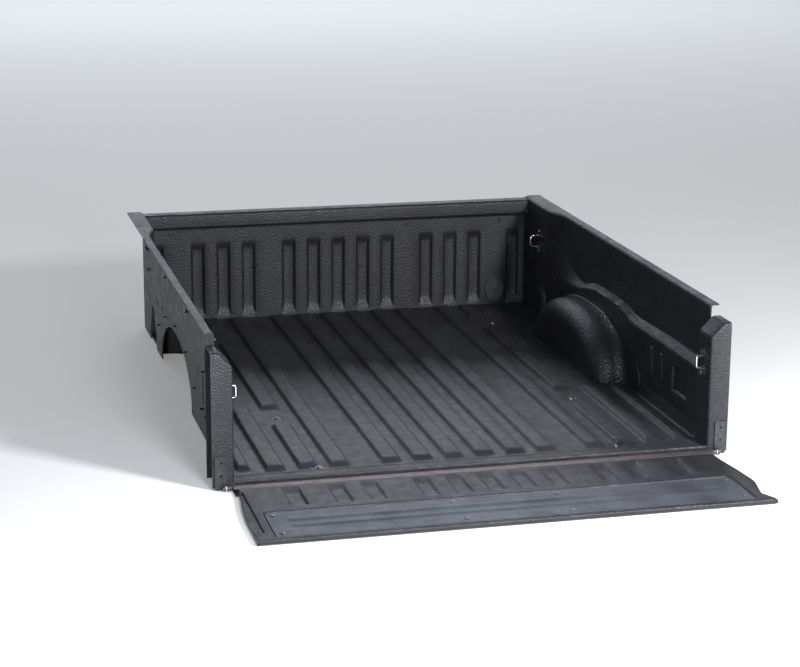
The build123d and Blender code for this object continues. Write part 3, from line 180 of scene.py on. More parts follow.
def formed_sheet(name, u, v, place, keep=None, snap=None, thickness=SHELL):
    """Sheet of the given thickness behind the surface place(u, v), which faces along du x dv."""
    grid_u, grid_v = np.meshgrid(u, v, indexing="ij")
    if snap:
        grid_u, grid_v = snap(grid_u, grid_v)
    front = place(grid_u, grid_v)
    normal = np.cross(np.gradient(front, axis=0), np.gradient(front, axis=1))
    normal /= np.maximum(np.linalg.norm(normal, axis=2, keepdims=True), 1e-9)
    back = front - normal * thickness
    n, m = grid_u.shape
    index = np.arange(n * m).reshape(n, m)
    middle_u = (grid_u[:-1, :-1] + grid_u[1:, 1:]) / 2
    middle_v = (grid_v[:-1, :-1] + grid_v[1:, 1:]) / 2
    kept = np.ones((n - 1, m - 1), bool) if keep is None else keep(middle_u, middle_v)
    quads = np.stack([index[:-1, :-1], index[1:, :-1], index[1:, 1:], index[:-1, 1:]], axis=2)
    quads = quads[kept]
    edges = np.concatenate([quads[:, [k, (k + 1) % 4]] for k in range(4)])
    seen = {}
    for a, b in edges:
        seen[(a, b)] = 1
    rim = [(a, b) for a, b in seen if (b, a) not in seen]
    size = n * m
    faces = [tuple(q) for q in quads]
    faces += [tuple(int(i) + size for i in reversed(q)) for q in quads]
    faces += [(int(b), int(a), int(a) + size, int(b) + size) for a, b in rim]
    points = np.concatenate([front.reshape(-1, 3), back.reshape(-1, 3)])
    used = sorted({i for f in faces for i in f})
    renumber = {old: new for new, old in enumerate(used)}
    faces = [tuple(renumber[int(i)] for i in f) for f in faces]
    return to_mesh(name, points[used], faces)


def bend_along(s, start, radius, first, second):
    """Path that runs along first, then turns a quarter round onto second, by length s.
    Returns the distances moved along first and along second."""
    arc = radius * math.pi / 2
    turn = np.clip((s - start) / radius, 0, math.pi / 2)
    along = np.minimum(s, start) + radius * np.sin(turn)
    across = radius * (1 - np.cos(turn)) + np.maximum(s - start - arc, 0)
    return along * first, across * second


def stack(x, y, z):
    return np.stack(np.broadcast_arrays(x, y, z), axis=2).astype(float)


def mirrored(piece, name):
    """Copy of a piece for the left side."""
    mesh = piece.data.copy()
    mesh.name = name
    co = np.zeros(len(mesh.vertices) * 3)
    mesh.vertices.foreach_get("co", co)
    co = co.reshape(-1, 3)
    co[:, 0] *= -1
    mesh.vertices.foreach_set("co", co.ravel())
    mesh.flip_normals()
    mesh.update()
    mesh.set_sharp_from_angle(angle=SMOOTH_ANGLE)
    return add(name, mesh)


# ---------------------------------------------------------------- materials
def srgb(r, g, b):
    def channel(c):
        c /= 255
        return c / 12.92 if c <= 0.04045 else ((c + 0.055) / 1.055) ** 2.4
    return (channel(r), channel(g), channel(b), 1)


class Surface:
    """Small helper around one Principled material's nodes."""

    def __init__(self, name, roughness=0.5, metallic=0.0, specular=0.5):
        self.material = bpy.data.materials.new(name)
        self.material.use_nodes = True
        self.tree = self.material.node_tree
        self.shader = self.tree.nodes["Principled BSDF"]
        self.shader.inputs["Roughness"].default_value = roughness
        self.shader.inputs["Metallic"].default_value = metallic
        self.shader.inputs["Specular IOR Level"].default_value = specular
        coordinates = self.tree.nodes.new("ShaderNodeTexCoord")
        self.place = coordinates.outputs["Object"]

    def link(self, source, target):
        self.tree.links.new(source, target)

    def noise(self, scale, detail=3.0, roughness=0.55, stretch=None):
        node = self.tree.nodes.new("ShaderNodeTexNoise")
        node.inputs["Scale"].default_value = scale
        node.inputs["Detail"].default_value = detail
        node.inputs["Roughness"].default_value = roughness
        place = self.place
        if stretch:
            mapping = self.tree.nodes.new("ShaderNodeMapping")
            mapping.inputs["Scale"].default_value = stretch
            self.link(place, mapping.inputs["Vector"])
            place = mapping.outputs["Vector"]
        self.link(place, node.inputs["Vector"])
        return node.outputs["Fac"]

    def cells(self, scale):
        node = self.tree.nodes.new("ShaderNodeTexVoronoi")
        node.feature = "SMOOTH_F1"
        node.inputs["Scale"].default_value = scale
        node.inputs["Smoothness"].default_value = 0.6
        self.link(self.place, node.inputs["Vector"])
        return node.outputs["Distance"]

    def ramp(self, value, low, high, start=0.0, end=1.0):
        """Maps value from low..high onto start..end."""
        node = self.tree.nodes.new("ShaderNodeMapRange")
        self.link(value, node.inputs["Value"])
        node.inputs["From Min"].default_value = low
        node.inputs["From Max"].default_value = high
        node.inputs["To Min"].default_value = start
        node.inputs["To Max"].default_value = end
        return node.outputs["Result"]

    def maths(self, operation, a, b):
        node = self.tree.nodes.new("ShaderNodeMath")
        node.operation = operation
        for socket, value in zip(node.inputs, (a, b)):
            if isinstance(value, (int, float)):
                socket.default_value = value
            else:
                self.link(value, socket)
        return node.outputs["Value"]

    def mix(self, factor, a, b):
        node = self.tree.nodes.new("ShaderNodeMix")
        node.data_type = "RGBA"
        self.link(factor, node.inputs["Factor"])
        for socket, value in ((node.inputs[6], a), (node.inputs[7], b)):
            if isinstance(value, tuple):
                socket.default_value = value
            else:
                self.link(value, socket)
        return node.outputs[2]

    def colour(self, value):
        self.link(value, self.shader.inputs["Base Color"])

    def rough(self, value):
        self.link(value, self.shader.inputs["Roughness"])

    def bump(self, height, distance):
        node = self.tree.nodes.new("ShaderNodeBump")
        node.inputs["Distance"].default_value = distance
        node.inputs["Strength"].default_value = 1.0
        self.link(height, node.inputs["Height"])
        self.link(node.outputs["Normal"], self.shader.inputs["Normal"])

    def worn_edges(self, low, high):
        geometry = self.tree.nodes.new("ShaderNodeNewGeometry")
        return self.ramp(geometry.outputs["Pointiness"], low, high)

    def facing_up(self):
        geometry = self.tree.nodes.new("ShaderNodeNewGeometry")
        split = self.tree.nodes.new("ShaderNodeSeparateXYZ")
        self.link(geometry.outputs["Normal"], split.inputs["Vector"])
        return self.ramp(split.outputs["Z"], 0.3, 1.0)


def grained_plastic(name, dark, light, wear_and_sheen, grain=210.0, depth=0.0012,
                    roughness=(0.38, 0.55)):
    """Moulded liner plastic: pebbled grain, mottled tone, rubbed edges and painted sheen, a patchy bluish
    lightening of upward-facing tops.
    """
    s = Surface(name, specular=0.5)
    tone = s.ramp(s.noise(5.0, 5.0), 0.35, 0.65)
    colour = s.mix(tone, dark, light)
    speck = s.ramp(s.noise(420.0, 2.0), 0.45, 0.75, 0.0, 0.35)
    colour = s.mix(speck, colour, light)
    edge = s.maths("MULTIPLY", s.worn_edges(0.56, 0.66),
                   s.ramp(s.noise(60.0, 3.0), 0.35, 0.6, 0.0, 0.35))
    colour = s.mix(edge, colour, wear_and_sheen)
    # Painted sheen: upward-facing tops are lightened in patches towards the bluish third colour, which
    # also colours the rubbed edges.
    painted_sheen = s.maths("MULTIPLY", s.facing_up(), s.ramp(s.noise(9.0, 6.0), 0.42, 0.75, 0.0, 0.22))
    colour = s.mix(painted_sheen, colour, wear_and_sheen)
    s.colour(colour)
    s.rough(s.ramp(s.noise(30.0, 4.0), 0.3, 0.7, *roughness))
    pebble = s.ramp(s.cells(grain), 0.0, 0.8, 1.0, 0.0)
    fine = s.noise(grain * 3.1, 2.0)
    s.bump(s.maths("ADD", pebble, s.maths("MULTIPLY", fine, 0.35)), depth)
    return s.material


def plain_plastic(name, dark, light, roughness=(0.35, 0.5)):
    s = Surface(name)
    s.colour(s.mix(s.ramp(s.noise(80.0, 3.0), 0.35, 0.65), dark, light))
    s.rough(s.ramp(s.noise(120.0, 3.0), 0.3, 0.7, *roughness))
    s.bump(s.noise(1500.0, 2.0), 0.0001)
    return s.material


def worked_metal(name, dark, light, roughness, depth=0.00004, stretch=(1, 1, 1),
                 scale=300.0):
    """Plated or bare steel with fine scratches, stretched along the working direction."""
    s = Surface(name, metallic=1.0)
    s.colour(s.mix(s.ramp(s.noise(40.0, 4.0), 0.3, 0.7), dark, light))
    scratches = s.noise(scale, 4.0, stretch=stretch)
    s.rough(s.ramp(scratches, 0.3, 0.7, *roughness))
    s.bump(scratches, depth)
    return s.material


def painted(name, dark, light):
    s = Surface(name)
    colour = s.mix(s.ramp(s.noise(25.0, 4.0), 0.35, 0.65), dark, light)
    edge = s.maths("MULTIPLY", s.worn_edges(0.58, 0.7),
                   s.ramp(s.noise(150.0, 3.0), 0.4, 0.6, 0.0, 0.4))
    s.colour(s.mix(edge, colour, srgb(120, 122, 125)))
    s.rough(s.ramp(s.noise(200.0, 3.0), 0.3, 0.7, 0.3, 0.45))
    s.bump(s.noise(900.0, 2.0), 0.00008)
    return s.material


def foam():
    s = Surface("closed_cell_foam", roughness=0.85, specular=0.25)
    s.colour(s.mix(s.ramp(s.cells(500.0), 0.1, 0.7), srgb(62, 63, 66), srgb(92, 93, 96)))
    s.bump(s.cells(700.0), 0.0004)
    return s.material


# The third colour of each grained plastic is a bluish grey used for rubbed edges and as painted sheen on
# upward-facing tops.
LINER = grained_plastic("liner_plastic", srgb(28, 26, 28), srgb(37, 37, 42), srgb(74, 78, 88))
DOME = grained_plastic("wheel_cover_plastic", srgb(27, 25, 27), srgb(36, 37, 42), srgb(78, 86, 98),
                       grain=150.0, depth=0.0020, roughness=(0.32, 0.45))
COVER = grained_plastic("cover_plastic", srgb(48, 50, 55), srgb(62, 66, 74), srgb(116, 122, 134))
# The badge grey is set lighter than the liner as a painted highlight, standing in for the bright glints on
# its rims.
BADGE = plain_plastic("badge_plastic", srgb(62, 62, 66), srgb(84, 85, 90), roughness=(0.15, 0.3))
TRIM = plain_plastic("black_trim", srgb(18, 18, 19), srgb(28, 28, 30))
RUBBER = plain_plastic("gasket_rubber", srgb(14, 14, 14), srgb(24, 24, 24), roughness=(0.6, 0.8))
NYLON = plain_plastic("nylon", srgb(196, 190, 176), srgb(214, 208, 196))
CHROME = worked_metal("loop_chrome", srgb(205, 208, 212), srgb(228, 230, 234), roughness=(0.06, 0.16))
ZINC = worked_metal("zinc_steel", srgb(108, 111, 116), srgb(140, 142, 146), roughness=(0.3, 0.5))
COATED = painted("coated_steel", srgb(40, 42, 44), srgb(54, 56, 58))
RAIL = worked_metal("rail_steel", srgb(128, 114, 116), srgb(150, 138, 140), roughness=(0.5, 0.65),
                    depth=0.0001, stretch=(0.05, 1, 1), scale=500.0)
FOAM = foam()
SLOT_MATERIALS = {
    "liner_plastic": LINER, "cover_plastic": COVER, "badge_plastic": BADGE, "black_trim": TRIM,
    "closed_cell_foam": FOAM, "gasket_rubber": RUBBER, "nylon": NYLON, "loop_chrome": CHROME,
    "zinc_steel": ZINC, "coated_steel": COATED, "rail_steel": RAIL,
}


def dress(piece, material, body, slot, *nodes):
    piece.data.materials.clear()
    piece.data.materials.append(material)
    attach(piece, body)
    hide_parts(*nodes)


# ---------------------------------------------------------------- floor
RIB_HEIGHT, RIB_HALF, RIB_SIDE = 12.0, 33.0, 10.0
RIB_REAR, RIB_REAR_SLOPE, RIB_FRONT_MARGIN, RIB_FRONT_SLOPE = 72.0, 27.0, 19.0, 15.0
LONG_RIBS = (49.0, 147.0, 245.0, 406.0)
SPLIT_RIB, OUTER_RIB, EDGE_RIB, EDGE_RIB_HALF = 503.0, 603.0, 697.0, 23.0
BOLT_SPOTS = ((470.0, 80.0), (500.0, 604.0), (535.0, 1635.0))
DISH_R, DISH_DEPTH = 21.0, 3.2
BED_LENGTH = FRONT_Y - REAR_Y
HOUSING_REAR = HOUSING_Y - HOUSING_HALF - REAR_Y
ARCH_REAR = dome_low.y - REAR_Y
POST_DEPTH = POST_END_Y - REAR_Y


def floor_ribs():
    """Every rib as (centre, half width, rear foot, front foot), from the rear edge."""
    front = BED_LENGTH - RIB_FRONT_MARGIN
    middle, ahead = BOLT_SPOTS[1][1], BOLT_SPOTS[2][1]
    behind = HOUSING_REAR - FOOT_LIP
    for side in (-1, 1):
        for x in LONG_RIBS:
            yield side * x, RIB_HALF, RIB_REAR, front
        yield side * SPLIT_RIB, RIB_HALF, RIB_REAR, middle - 84
        yield side * SPLIT_RIB, RIB_HALF, middle + 91, ahead - 84
        yield side * SPLIT_RIB, RIB_HALF, ahead + 91, front
        yield side * OUTER_RIB, RIB_HALF, RIB_REAR, behind
        yield side * EDGE_RIB, EDGE_RIB_HALF, 90.0, behind


def floor_height(x, y):
    """Height over the flat floor; y from the rear edge."""
    height = np.zeros_like(x)
    for centre, half, rear, front in floor_ribs():
        rect = (centre - half, centre + half, rear, front)
        slopes = (RIB_SIDE, RIB_SIDE, RIB_REAR_SLOPE, RIB_FRONT_SLOPE)
        height = np.maximum(height, RIB_HEIGHT * pad(x, y, rect, slopes))
    for bx, by in BOLT_SPOTS:
        for side in (-1, 1):
            dish = disc(x, y, (side * bx, by), DISH_R + 9, 9)
            height = height * (1 - dish) - DISH_DEPTH * disc(x, y, (side * bx, by), DISH_R, 5)
    height -= 1.5 * clamp01((y - 9) / 3) * clamp01((57 - y) / 5)
    height += 4.0 * clamp01((10.5 - y) / 5)
    return height + ripple(x, y, 3, 0.5) * clamp01((y - 60) / 60)


FLOOR_EDGE_R, KICK_LEAN = 6.0, 10.0
KICK_END = ARCH_REAR - 2
floor_flat = LOWER_X - SHELL - KICK_LEAN - FLOOR_EDGE_R
kick_arc = FLOOR_EDGE_R * math.pi / 2
kick_end = floor_flat + kick_arc + KICK_HEIGHT - FLOOR_EDGE_R
REAR_FOLD = 5.0
rear_reach = -(REAR_FOLD * math.pi / 2 + FLOOR_UNDER - gate_low.z - 4)


def floor_place(u, v):
    """u runs across the floor and up its turned-up sides, v forwards from the rear fold."""
    side = np.sign(u)
    flat, up = bend_along(np.abs(u), floor_flat, FLOOR_EDGE_R, 1, 1)
    raised = (v > POST_DEPTH - 0.5) & (v < KICK_END + 0.5)
    flat = np.where(raised, flat + KICK_LEAN * up / KICK_HEIGHT, np.abs(u))
    up = np.where(raised, up, 0)
    y_in, down = bend_along(REAR_FOLD - v, 0.0, REAR_FOLD, 1, 1)
    y = np.where(v < REAR_FOLD, REAR_FOLD - y_in, v)
    height = floor_height(side * flat, np.maximum(y, 0))
    fade = 1 - clamp01((np.abs(u) - floor_flat + 6) / 8)
    fade = np.where(raised, fade, 1)
    z = FLOOR_TOP + height * fade + up - np.where(v < REAR_FOLD, down, 0)
    return stack(side * flat, REAR_Y + y, z)


hole_x, hole_half, hole_r = HOUSING_X - 1.0, HOUSING_HALF + 1.0, 81.0


def in_housing(u, v):
    """Inside the wheel cover's rounded footprint."""
    a = np.abs(u) - hole_x
    b = hole_half - np.abs(v - (HOUSING_Y - REAR_Y))
    corner = np.hypot(np.maximum(hole_r - a, 0), np.maximum(hole_r - b, 0)) < hole_r
    return (a > 0) & (b > 0) & corner


def snap_to_housing(u, v):
    """Moves grid points near the footprint's rounded corners onto them."""
    centre_u = hole_x + hole_r
    middle = HOUSING_Y - REAR_Y
    for side in (-1, 1):
        for end in (-1, 1):
            cu, cv = side * centre_u, middle + end * (hole_half - hole_r)
            du, dv = u - cu, v - cv
            quadrant = (du * side < -1e-6) & (dv * end > 1e-6)
            distance = np.hypot(du, dv)
            near = quadrant & (np.abs(distance - hole_r) < 5.6)
            scale = np.where(near, hole_r / np.maximum(distance, 1e-6), 1)
            u, v = cu + du * scale, cv + dv * scale
    return u, v


def floor_keep(u, v):
    beyond_post = (np.abs(u) > POST_X) & (v < POST_DEPTH)
    at_post, at_arch = np.abs(v - POST_DEPTH + 1) < 1, np.abs(v - KICK_END - 1) < 1
    seam = (np.abs(u) > floor_flat) & (at_post | at_arch)
    past_edge = (np.abs(u) > LOWER_X - 1) & ((v > KICK_END) | (v < POST_DEPTH))
    return ~(in_housing(u, v) | beyond_post | seam | past_edge)


def make_floor():
    across, along = [], []
    for centre, half, rear, front in floor_ribs():
        across += edge_marks(centre, half, half - RIB_SIDE, 5)
        along += span_marks(rear, rear + RIB_REAR_SLOPE, 7)
        along += span_marks(front - RIB_FRONT_SLOPE, front, 5)
    for bx, by in BOLT_SPOTS:
        across += [s * (bx + d) for s in (-1, 1) for d in range(-30, 31, 5)]
        along += [by + d for d in range(-30, 31, 5)]
    across += [s * x for s in (-1, 1) for x in np.linspace(floor_flat, floor_flat + kick_arc, 5)]
    corner_lines = np.arange(hole_x, hole_x + hole_r, 9)
    across += [s * x for s in (-1, 1) for x in (POST_X, LOWER_X - 1, hole_x, *corner_lines)]
    middle = HOUSING_Y - REAR_Y
    along += [middle + e * (hole_half - d) for e in (-1, 1) for d in np.arange(0, hole_r, 9)]
    along += [0, 2, 3.5, 5, 7, 9, 11, 13, 52, 54, 56, 58]
    along += [POST_DEPTH - 2, POST_DEPTH, KICK_END, KICK_END + 2]
    along += list(np.linspace(-8, 0, 4))
    u = lines(-kick_end, kick_end, 44, across)
    v = lines(rear_reach, BED_LENGTH, 46, along)
    return formed_sheet("floor_skin", u, v, floor_place, floor_keep, snap_to_housing)


dress(make_floor(), LINER, "bed", "liner_plastic", "floor_panel")

# ---------------------------------------------------------------- front wall
FLUTE_HALF, FLUTE_DEPTH, FLUTE_SIDE, FLUTE_END = 26.0, 12.0, 8.0, 28.0
FLUTE_LOW, FLUTE_HIGH = 12.0, 297.0
WALL_FLUTES = (0.0, 97.0, 194.0, 350.0, 447.0, 545.0, LOWER_X - 51.0)


def wall_depth(x, z):
    """How far the front wall is pressed towards the cab; z above the floor."""
    depth = np.zeros_like(x)
    for centre in sorted({s * c for c in WALL_FLUTES for s in (-1, 1)}):
        rect = (centre - FLUTE_HALF, centre + FLUTE_HALF, FLUTE_LOW, FLUTE_HIGH)
        slopes = (FLUTE_SIDE, FLUTE_SIDE, FLUTE_END, FLUTE_END)
        depth = np.maximum(depth, FLUTE_DEPTH * pad(x, z, rect, slopes))
    return depth + ripple(x, z, 11, 0.5)


def wall_place(u, v):
    return stack(u, FRONT_Y + 0.5 + wall_depth(u, v), FLOOR_TOP + v)


def make_front_wall():
    across = []
    for centre in sorted({s * c for c in WALL_FLUTES for s in (-1, 1)}):
        across += edge_marks(centre, FLUTE_HALF, FLUTE_HALF - FLUTE_SIDE, 6)
    up = span_marks(FLUTE_LOW, FLUTE_LOW + FLUTE_END, 9)
    up += span_marks(FLUTE_HIGH - FLUTE_END, FLUTE_HIGH, 9)
    u = lines(-LOWER_X, LOWER_X, 40, across)
    v = lines(wall_low.z - FLOOR_TOP, wall_high.z - FLOOR_TOP, 30, up)
    return formed_sheet("front_wall_skin", u, v, wall_place)


dress(make_front_wall(), LINER, "bed", "liner_plastic", "front_wall_panel")


def rounded_profile(corners, radii, segments=5):
    """Closed outline with each corner rounded by its own radius."""
    points = []
    count = len(corners)
    for i, corner in enumerate(corners):
        before = Vector(corners[i - 1]) - Vector(corner)
        after = Vector(corners[(i + 1) % count]) - Vector(corner)
        radius = radii[i]
        if radius <= 0:
            points.append(tuple(corner))
            continue
        half = before.angle(after) / 2
        reach = radius / math.tan(half)
        start = Vector(corner) + before.normalized() * reach
        end = Vector(corner) + after.normalized() * reach
        bisector = (before.normalized() + after.normalized()).normalized()
        centre = Vector(corner) + bisector * (radius / math.sin(half))
        a, b = start - centre, end - centre
        for k in range(segments + 1):
            t = k / segments
            swing = (a * (1 - t) + b * t).normalized() * radius
            points.append(tuple(centre + swing))
    return points


def extruded(name, outline, start, end, steps):
    """Solid bar of a closed (y, z) outline along X, cut into steps."""
    levels = np.linspace(start, end, steps + 1)
    points = [(level, a, b) for level in levels for a, b in outline]
    count = len(outline)
    faces = []
    for k in range(steps):
        for i in range(count):
            j = (i + 1) % count
            faces.append((k * count + i, k * count + j, (k + 1) * count + j, (k + 1) * count + i))
    faces.append(tuple(reversed(range(count))))
    faces.append(tuple(range(steps * count, (steps + 1) * count)))
    piece = to_mesh(name, points, faces)
    shape = bmesh.new()
    shape.from_mesh(piece.data)
    bmesh.ops.recalc_face_normals(shape, faces=shape.faces)
    shape.to_mesh(piece.data)
    shape.free()
    piece.data.shade_smooth()
    piece.data.set_sharp_from_angle(angle=SMOOTH_ANGLE)
    return piece


def make_top_cap():
    """Channel along the front wall's top: rounded band, lip behind, leg ahead."""
    y1, y2, z1, z2 = cap_low.y, cap_high.y, cap_low.z, cap_high.z
    t = SHELL
    leg = z2 - 36.0
    corners = [(y1, z1), (y1, z2), (y2, z2), (y2, leg), (y2 - t, leg), (y2 - t, z2 - t),
               (y1 + t, z2 - t), (y1 + t, z1 + t), (FRONT_Y, z1 + t), (FRONT_Y, z1)]
    radii = [9, 11, 11, 0, 0, 6, 6, 5, 0, 0]
    return extruded("front_cap_skin", rounded_profile(corners, radii), -LOWER_X, LOWER_X, 40)


dress(make_top_cap(), LINER, "bed", "liner_plastic", "front_top_cap")

# ---------------------------------------------------------------- side walls
TOP_BEND = 7.0


def smooth_curve(points, per_span=14):
    """Catmull-Rom curve through points."""
    p = [np.array(q, float) for q in points]
    p = [2 * p[0] - p[1], *p, 2 * p[-1] - p[-2]]
    out = []
    for i in range(1, len(p) - 2):
        for k in range(per_span):
            t = k / per_span
            a, b, c, d = p[i - 1], p[i], p[i + 1], p[i + 2]
            out.append(0.5 * (2 * b + (c - a) * t + (2 * a - 5 * b + 4 * c - d) * t * t
                              + (3 * b - a - 3 * c + d) * t ** 3))
    out.append(p[-2])
    return np.array(out)


LEDGE_LOWER = smooth_curve([(40, 221), (187, 221), (450, 221), (690, 221), (745, 226), (798, 239),
                            (870, 247), (990, 247), (1096, 244), (1190, 229), (1286, 211),
                            (1385, 204), (1473, 203), (1530, 204), (1578, 209), (1605, 221),
                            (1620, 243), (1629, 275), (1631, 309), (1632, 380), (1632, 480)])
LEDGE_UPPER = smooth_curve([(40, 244), (187, 244), (419, 244), (640, 238), (733, 238), (795, 247),
                            (896, 254), (1024, 255), (1157, 247), (1230, 232), (1278, 223),
                            (1335, 229), (1394, 249), (1453, 273), (1492, 299), (1517, 330),
                            (1527, 365), (1530, 410), (1530, 480)])
SHOULDER_LINE = smooth_curve([(40, 317), (400, 317), (700, 317), (785, 324), (986, 327), (1116, 315),
                              (1222, 296), (1332, 290), (1400, 296), (1450, 330), (1480, 400),
                              (1490, 480)])


def above_line(y, z, line):
    """Signed distance from a line that runs forwards, positive above it."""
    best = np.full(y.shape, 1e9)
    sign = np.ones(y.shape)
    for (ay, az), (by, bz) in zip(line[:-1], line[1:]):
        dy, dz = by - ay, bz - az
        t = np.clip(((y - ay) * dy + (z - az) * dz) / (dy * dy + dz * dz), 0, 1)
        ey, ez = y - ay - t * dy, z - az - t * dz
        distance = np.hypot(ey, ez)
        closer = distance < best
        best = np.where(closer, distance, best)
        sign = np.where(closer, np.sign(dy * ez - dz * ey), sign)
    return best * sign


def between(low, high):
    """Share of the way from one line (low = 0) to the next (high = 0)."""
    return low / np.maximum(low - high, 1e-6)


GUSSET_Y, GUSSET_HEIGHT, GUSSET_FOOT, GUSSET_TIP = 1680.0, 118.0, 80.0, 30.0
GUSSET_DEPTH, BEAD_DEPTH, BEAD_HALF, POCKET_DEPTH = 17.0, 6.0, 11.0, 8.0
BEADS = ((422.0, 90.0, 188.0), (510.0, 90.0, 188.0), (1442.0, 160.0, 187.0), (1531.0, 160.0, 187.0))
POCKET = (195.0, 335.0, 90.0, 180.0)


def side_depth(y, z):
    """How far the side wall stands outboard of the lower wall; y from the rear edge, z above
    the floor."""
    lower, upper = above_line(y, z, LEDGE_LOWER), above_line(y, z, LEDGE_UPPER)
    shoulder = above_line(y, z, SHOULDER_LINE)
    depth = LEDGE_DEPTH * clamp01(between(lower, upper), 0.16)
    depth += SHOULDER_DEPTH * clamp01(between(upper, shoulder), 0.12) * (upper > 0)
    for centre, low, high in BEADS:
        rect = (centre - BEAD_HALF, centre + BEAD_HALF, low, high)
        depth -= BEAD_DEPTH * pad(y, z, rect, (6, 6, 7, 7))
    depth += POCKET_DEPTH * pad(y, z, POCKET, (5, 5, 5, 5))
    width = GUSSET_FOOT + (GUSSET_TIP - GUSSET_FOOT) * np.clip(z / GUSSET_HEIGHT, 0, 1)
    gusset = soft_min((width - np.abs(y - GUSSET_Y)) / 10, (GUSSET_HEIGHT - z) / 10)
    depth -= GUSSET_DEPTH * clamp01(gusset)
    return depth + ripple(y, z, 23, 0.6)


side_rise = WALL_TOP - FLOOR_TOP - TOP_BEND
arch_half, arch_top = HOUSING_HALF - 20, HOUSING_TOP - 20 - FLOOR_UNDER


def side_place(u, v):
    """u runs rearwards to forwards, v up the wall and outwards over its top flange; the
    sheet's thickness lies inboard of it and over the flange."""
    up, out = bend_along(v, side_rise, TOP_BEND, 1, 1)
    depth = side_depth(u, np.minimum(v, side_rise))
    wall_x = LOWER_X + depth
    reach = OUTER_X - wall_x
    flange = out * reach / np.maximum(OUTER_X - UPPER_X, 1)
    return stack(wall_x + flange, REAR_Y + u, FLOOR_TOP + up)


def in_arch(u, v):
    y = (u - (HOUSING_Y - REAR_Y)) / arch_half
    z = (v + SHELL) / arch_top
    return y * y + z * z < 1


def snap_to_arch(u, v):
    y, z = u - (HOUSING_Y - REAR_Y), v + SHELL
    r = np.sqrt((y / arch_half) ** 2 + (z / arch_top) ** 2)
    near = (np.abs(r - 1) < 0.024) & (z > 0)
    scale = np.where(near, 1 / np.maximum(r, 1e-6), 1)
    return y * scale + HOUSING_Y - REAR_Y, z * scale - SHELL


def make_side():
    along = []
    for centre, _, _ in BEADS:
        along += edge_marks(centre, BEAD_HALF, 5, 5)
    along += span_marks(POCKET[0], POCKET[0] + 5, 5) + span_marks(POCKET[1] - 5, POCKET[1], 5)
    along += list(np.linspace(GUSSET_Y - 84, GUSSET_Y + 84, 43))
    middle = HOUSING_Y - REAR_Y
    along += [middle + arch_half * math.cos(a) for a in np.linspace(0, math.pi, 60)]
    up = list(np.arange(196, 262, 4)) + list(np.linspace(side_rise, side_rise + TOP_BEND * 1.6, 5))
    up += span_marks(90, 97, 5) + span_marks(181, 188, 5) + span_marks(160, 167, 4)
    up += [arch_top * math.sin(a) - SHELL for a in np.linspace(0, math.pi / 2, 22)]
    u = lines(POST_END_Y - REAR_Y, BED_LENGTH, 14, along)
    flange_end = side_rise + TOP_BEND * math.pi / 2 + OUTER_X - UPPER_X - TOP_BEND
    v = lines(side_low.z - FLOOR_TOP, flange_end, 13, up)
    return formed_sheet("side_skin_right", u, v, side_place, lambda a, b: ~in_arch(a, b),
                        snap_to_arch)


side_right = make_side()
side_left = mirrored(side_right, "side_skin_left")
dress(side_right, LINER, "bed", "liner_plastic", "side_panel_right")
dress(side_left, LINER, "bed", "liner_plastic", "side_panel_left")

# ---------------------------------------------------------------- wheel covers
DOME_ROUND, BLEND_LIMIT = 60.0, 40.0
FLANGE_POWER, DOME_POWER = 0.77, 0.92  # below 1 squares an arch off


def dome_place(u, v):
    """u goes over the arch from the cab end to the rear end; v runs 0-1 over the wall flange,
    1-2 through the blend, 2-3 inboard, 3-4 round the edge and 4-5 over the inboard face. The
    sheet's thickness lies outside it."""
    c, s = np.cos(u), np.sin(u)
    height = HOUSING_TOP - FLOOR_UNDER
    outer_y = ARCH_Y + ARCH_HALF * np.sign(c) * np.abs(c) ** FLANGE_POWER
    outer_z = (height + ARCH_LIP) * np.abs(s) ** FLANGE_POWER
    dome_c, dome_s = np.sign(c) * np.abs(c) ** DOME_POWER, np.abs(s) ** DOME_POWER
    swing = np.clip(v - 3, 0, 1) * math.pi / 2
    shrink = 1 - 0.999 * np.clip(v - 4, 0, 1)
    inset = DOME_ROUND * (1 - np.cos(swing))
    dome_y = HOUSING_Y + (HOUSING_HALF - inset) * shrink * dome_c
    dome_z = (height - inset) * shrink * dome_s
    gap = np.hypot(outer_y - HOUSING_Y - HOUSING_HALF * dome_c, outer_z - height * dome_s)
    blend = np.clip(0.45 * gap, 5, BLEND_LIMIT)
    turn = np.clip(v - 1, 0, 1) * math.pi / 2
    away = np.where(v < 1, 1 - v * (1 - blend / gap), (1 - np.sin(turn)) * blend / gap)
    away = np.where(v >= 2, 0, away)
    y = dome_y + away * (outer_y - dome_y)
    z = dome_z + away * (outer_z - dome_z)
    straight = LOWER_X - HOUSING_X - DOME_ROUND - SHELL
    inboard = SHELL + blend * (1 - np.cos(turn)) + np.clip(v - 2, 0, 1) * (straight - blend)
    inboard = inboard + DOME_ROUND * np.sin(swing)
    sag = ripple(y, z + inboard * 0.7, 31, 1.0, 420, 120) * np.clip(v - 2, 0, 1)
    inboard = np.minimum(inboard - sag, LOWER_X - HOUSING_X)
    return stack(LOWER_X - inboard, y, FLOOR_UNDER + z)


def make_dome():
    u = np.linspace(0, math.pi, 121)
    v = np.concatenate([np.linspace(0, 1, 6)[:-1], np.linspace(1, 2, 8)[:-1], np.linspace(2, 3, 4)[:-1],
                        np.linspace(3, 4, 13)[:-1], np.linspace(4, 5, 9)])
    return formed_sheet("wheel_cover_skin_right", u, v, dome_place)


dome_right = make_dome()
dome_left = mirrored(dome_right, "wheel_cover_skin_left")
dress(dome_right, DOME, "bed", "liner_plastic", "wheel_cover_right")
dress(dome_left, DOME, "bed", "liner_plastic", "wheel_cover_left")


# ---------------------------------------------------------------- rear post covers
POST_SHOULDER, POST_SLOPE, POST_EDGE = 350.0, 43.0, 9.0


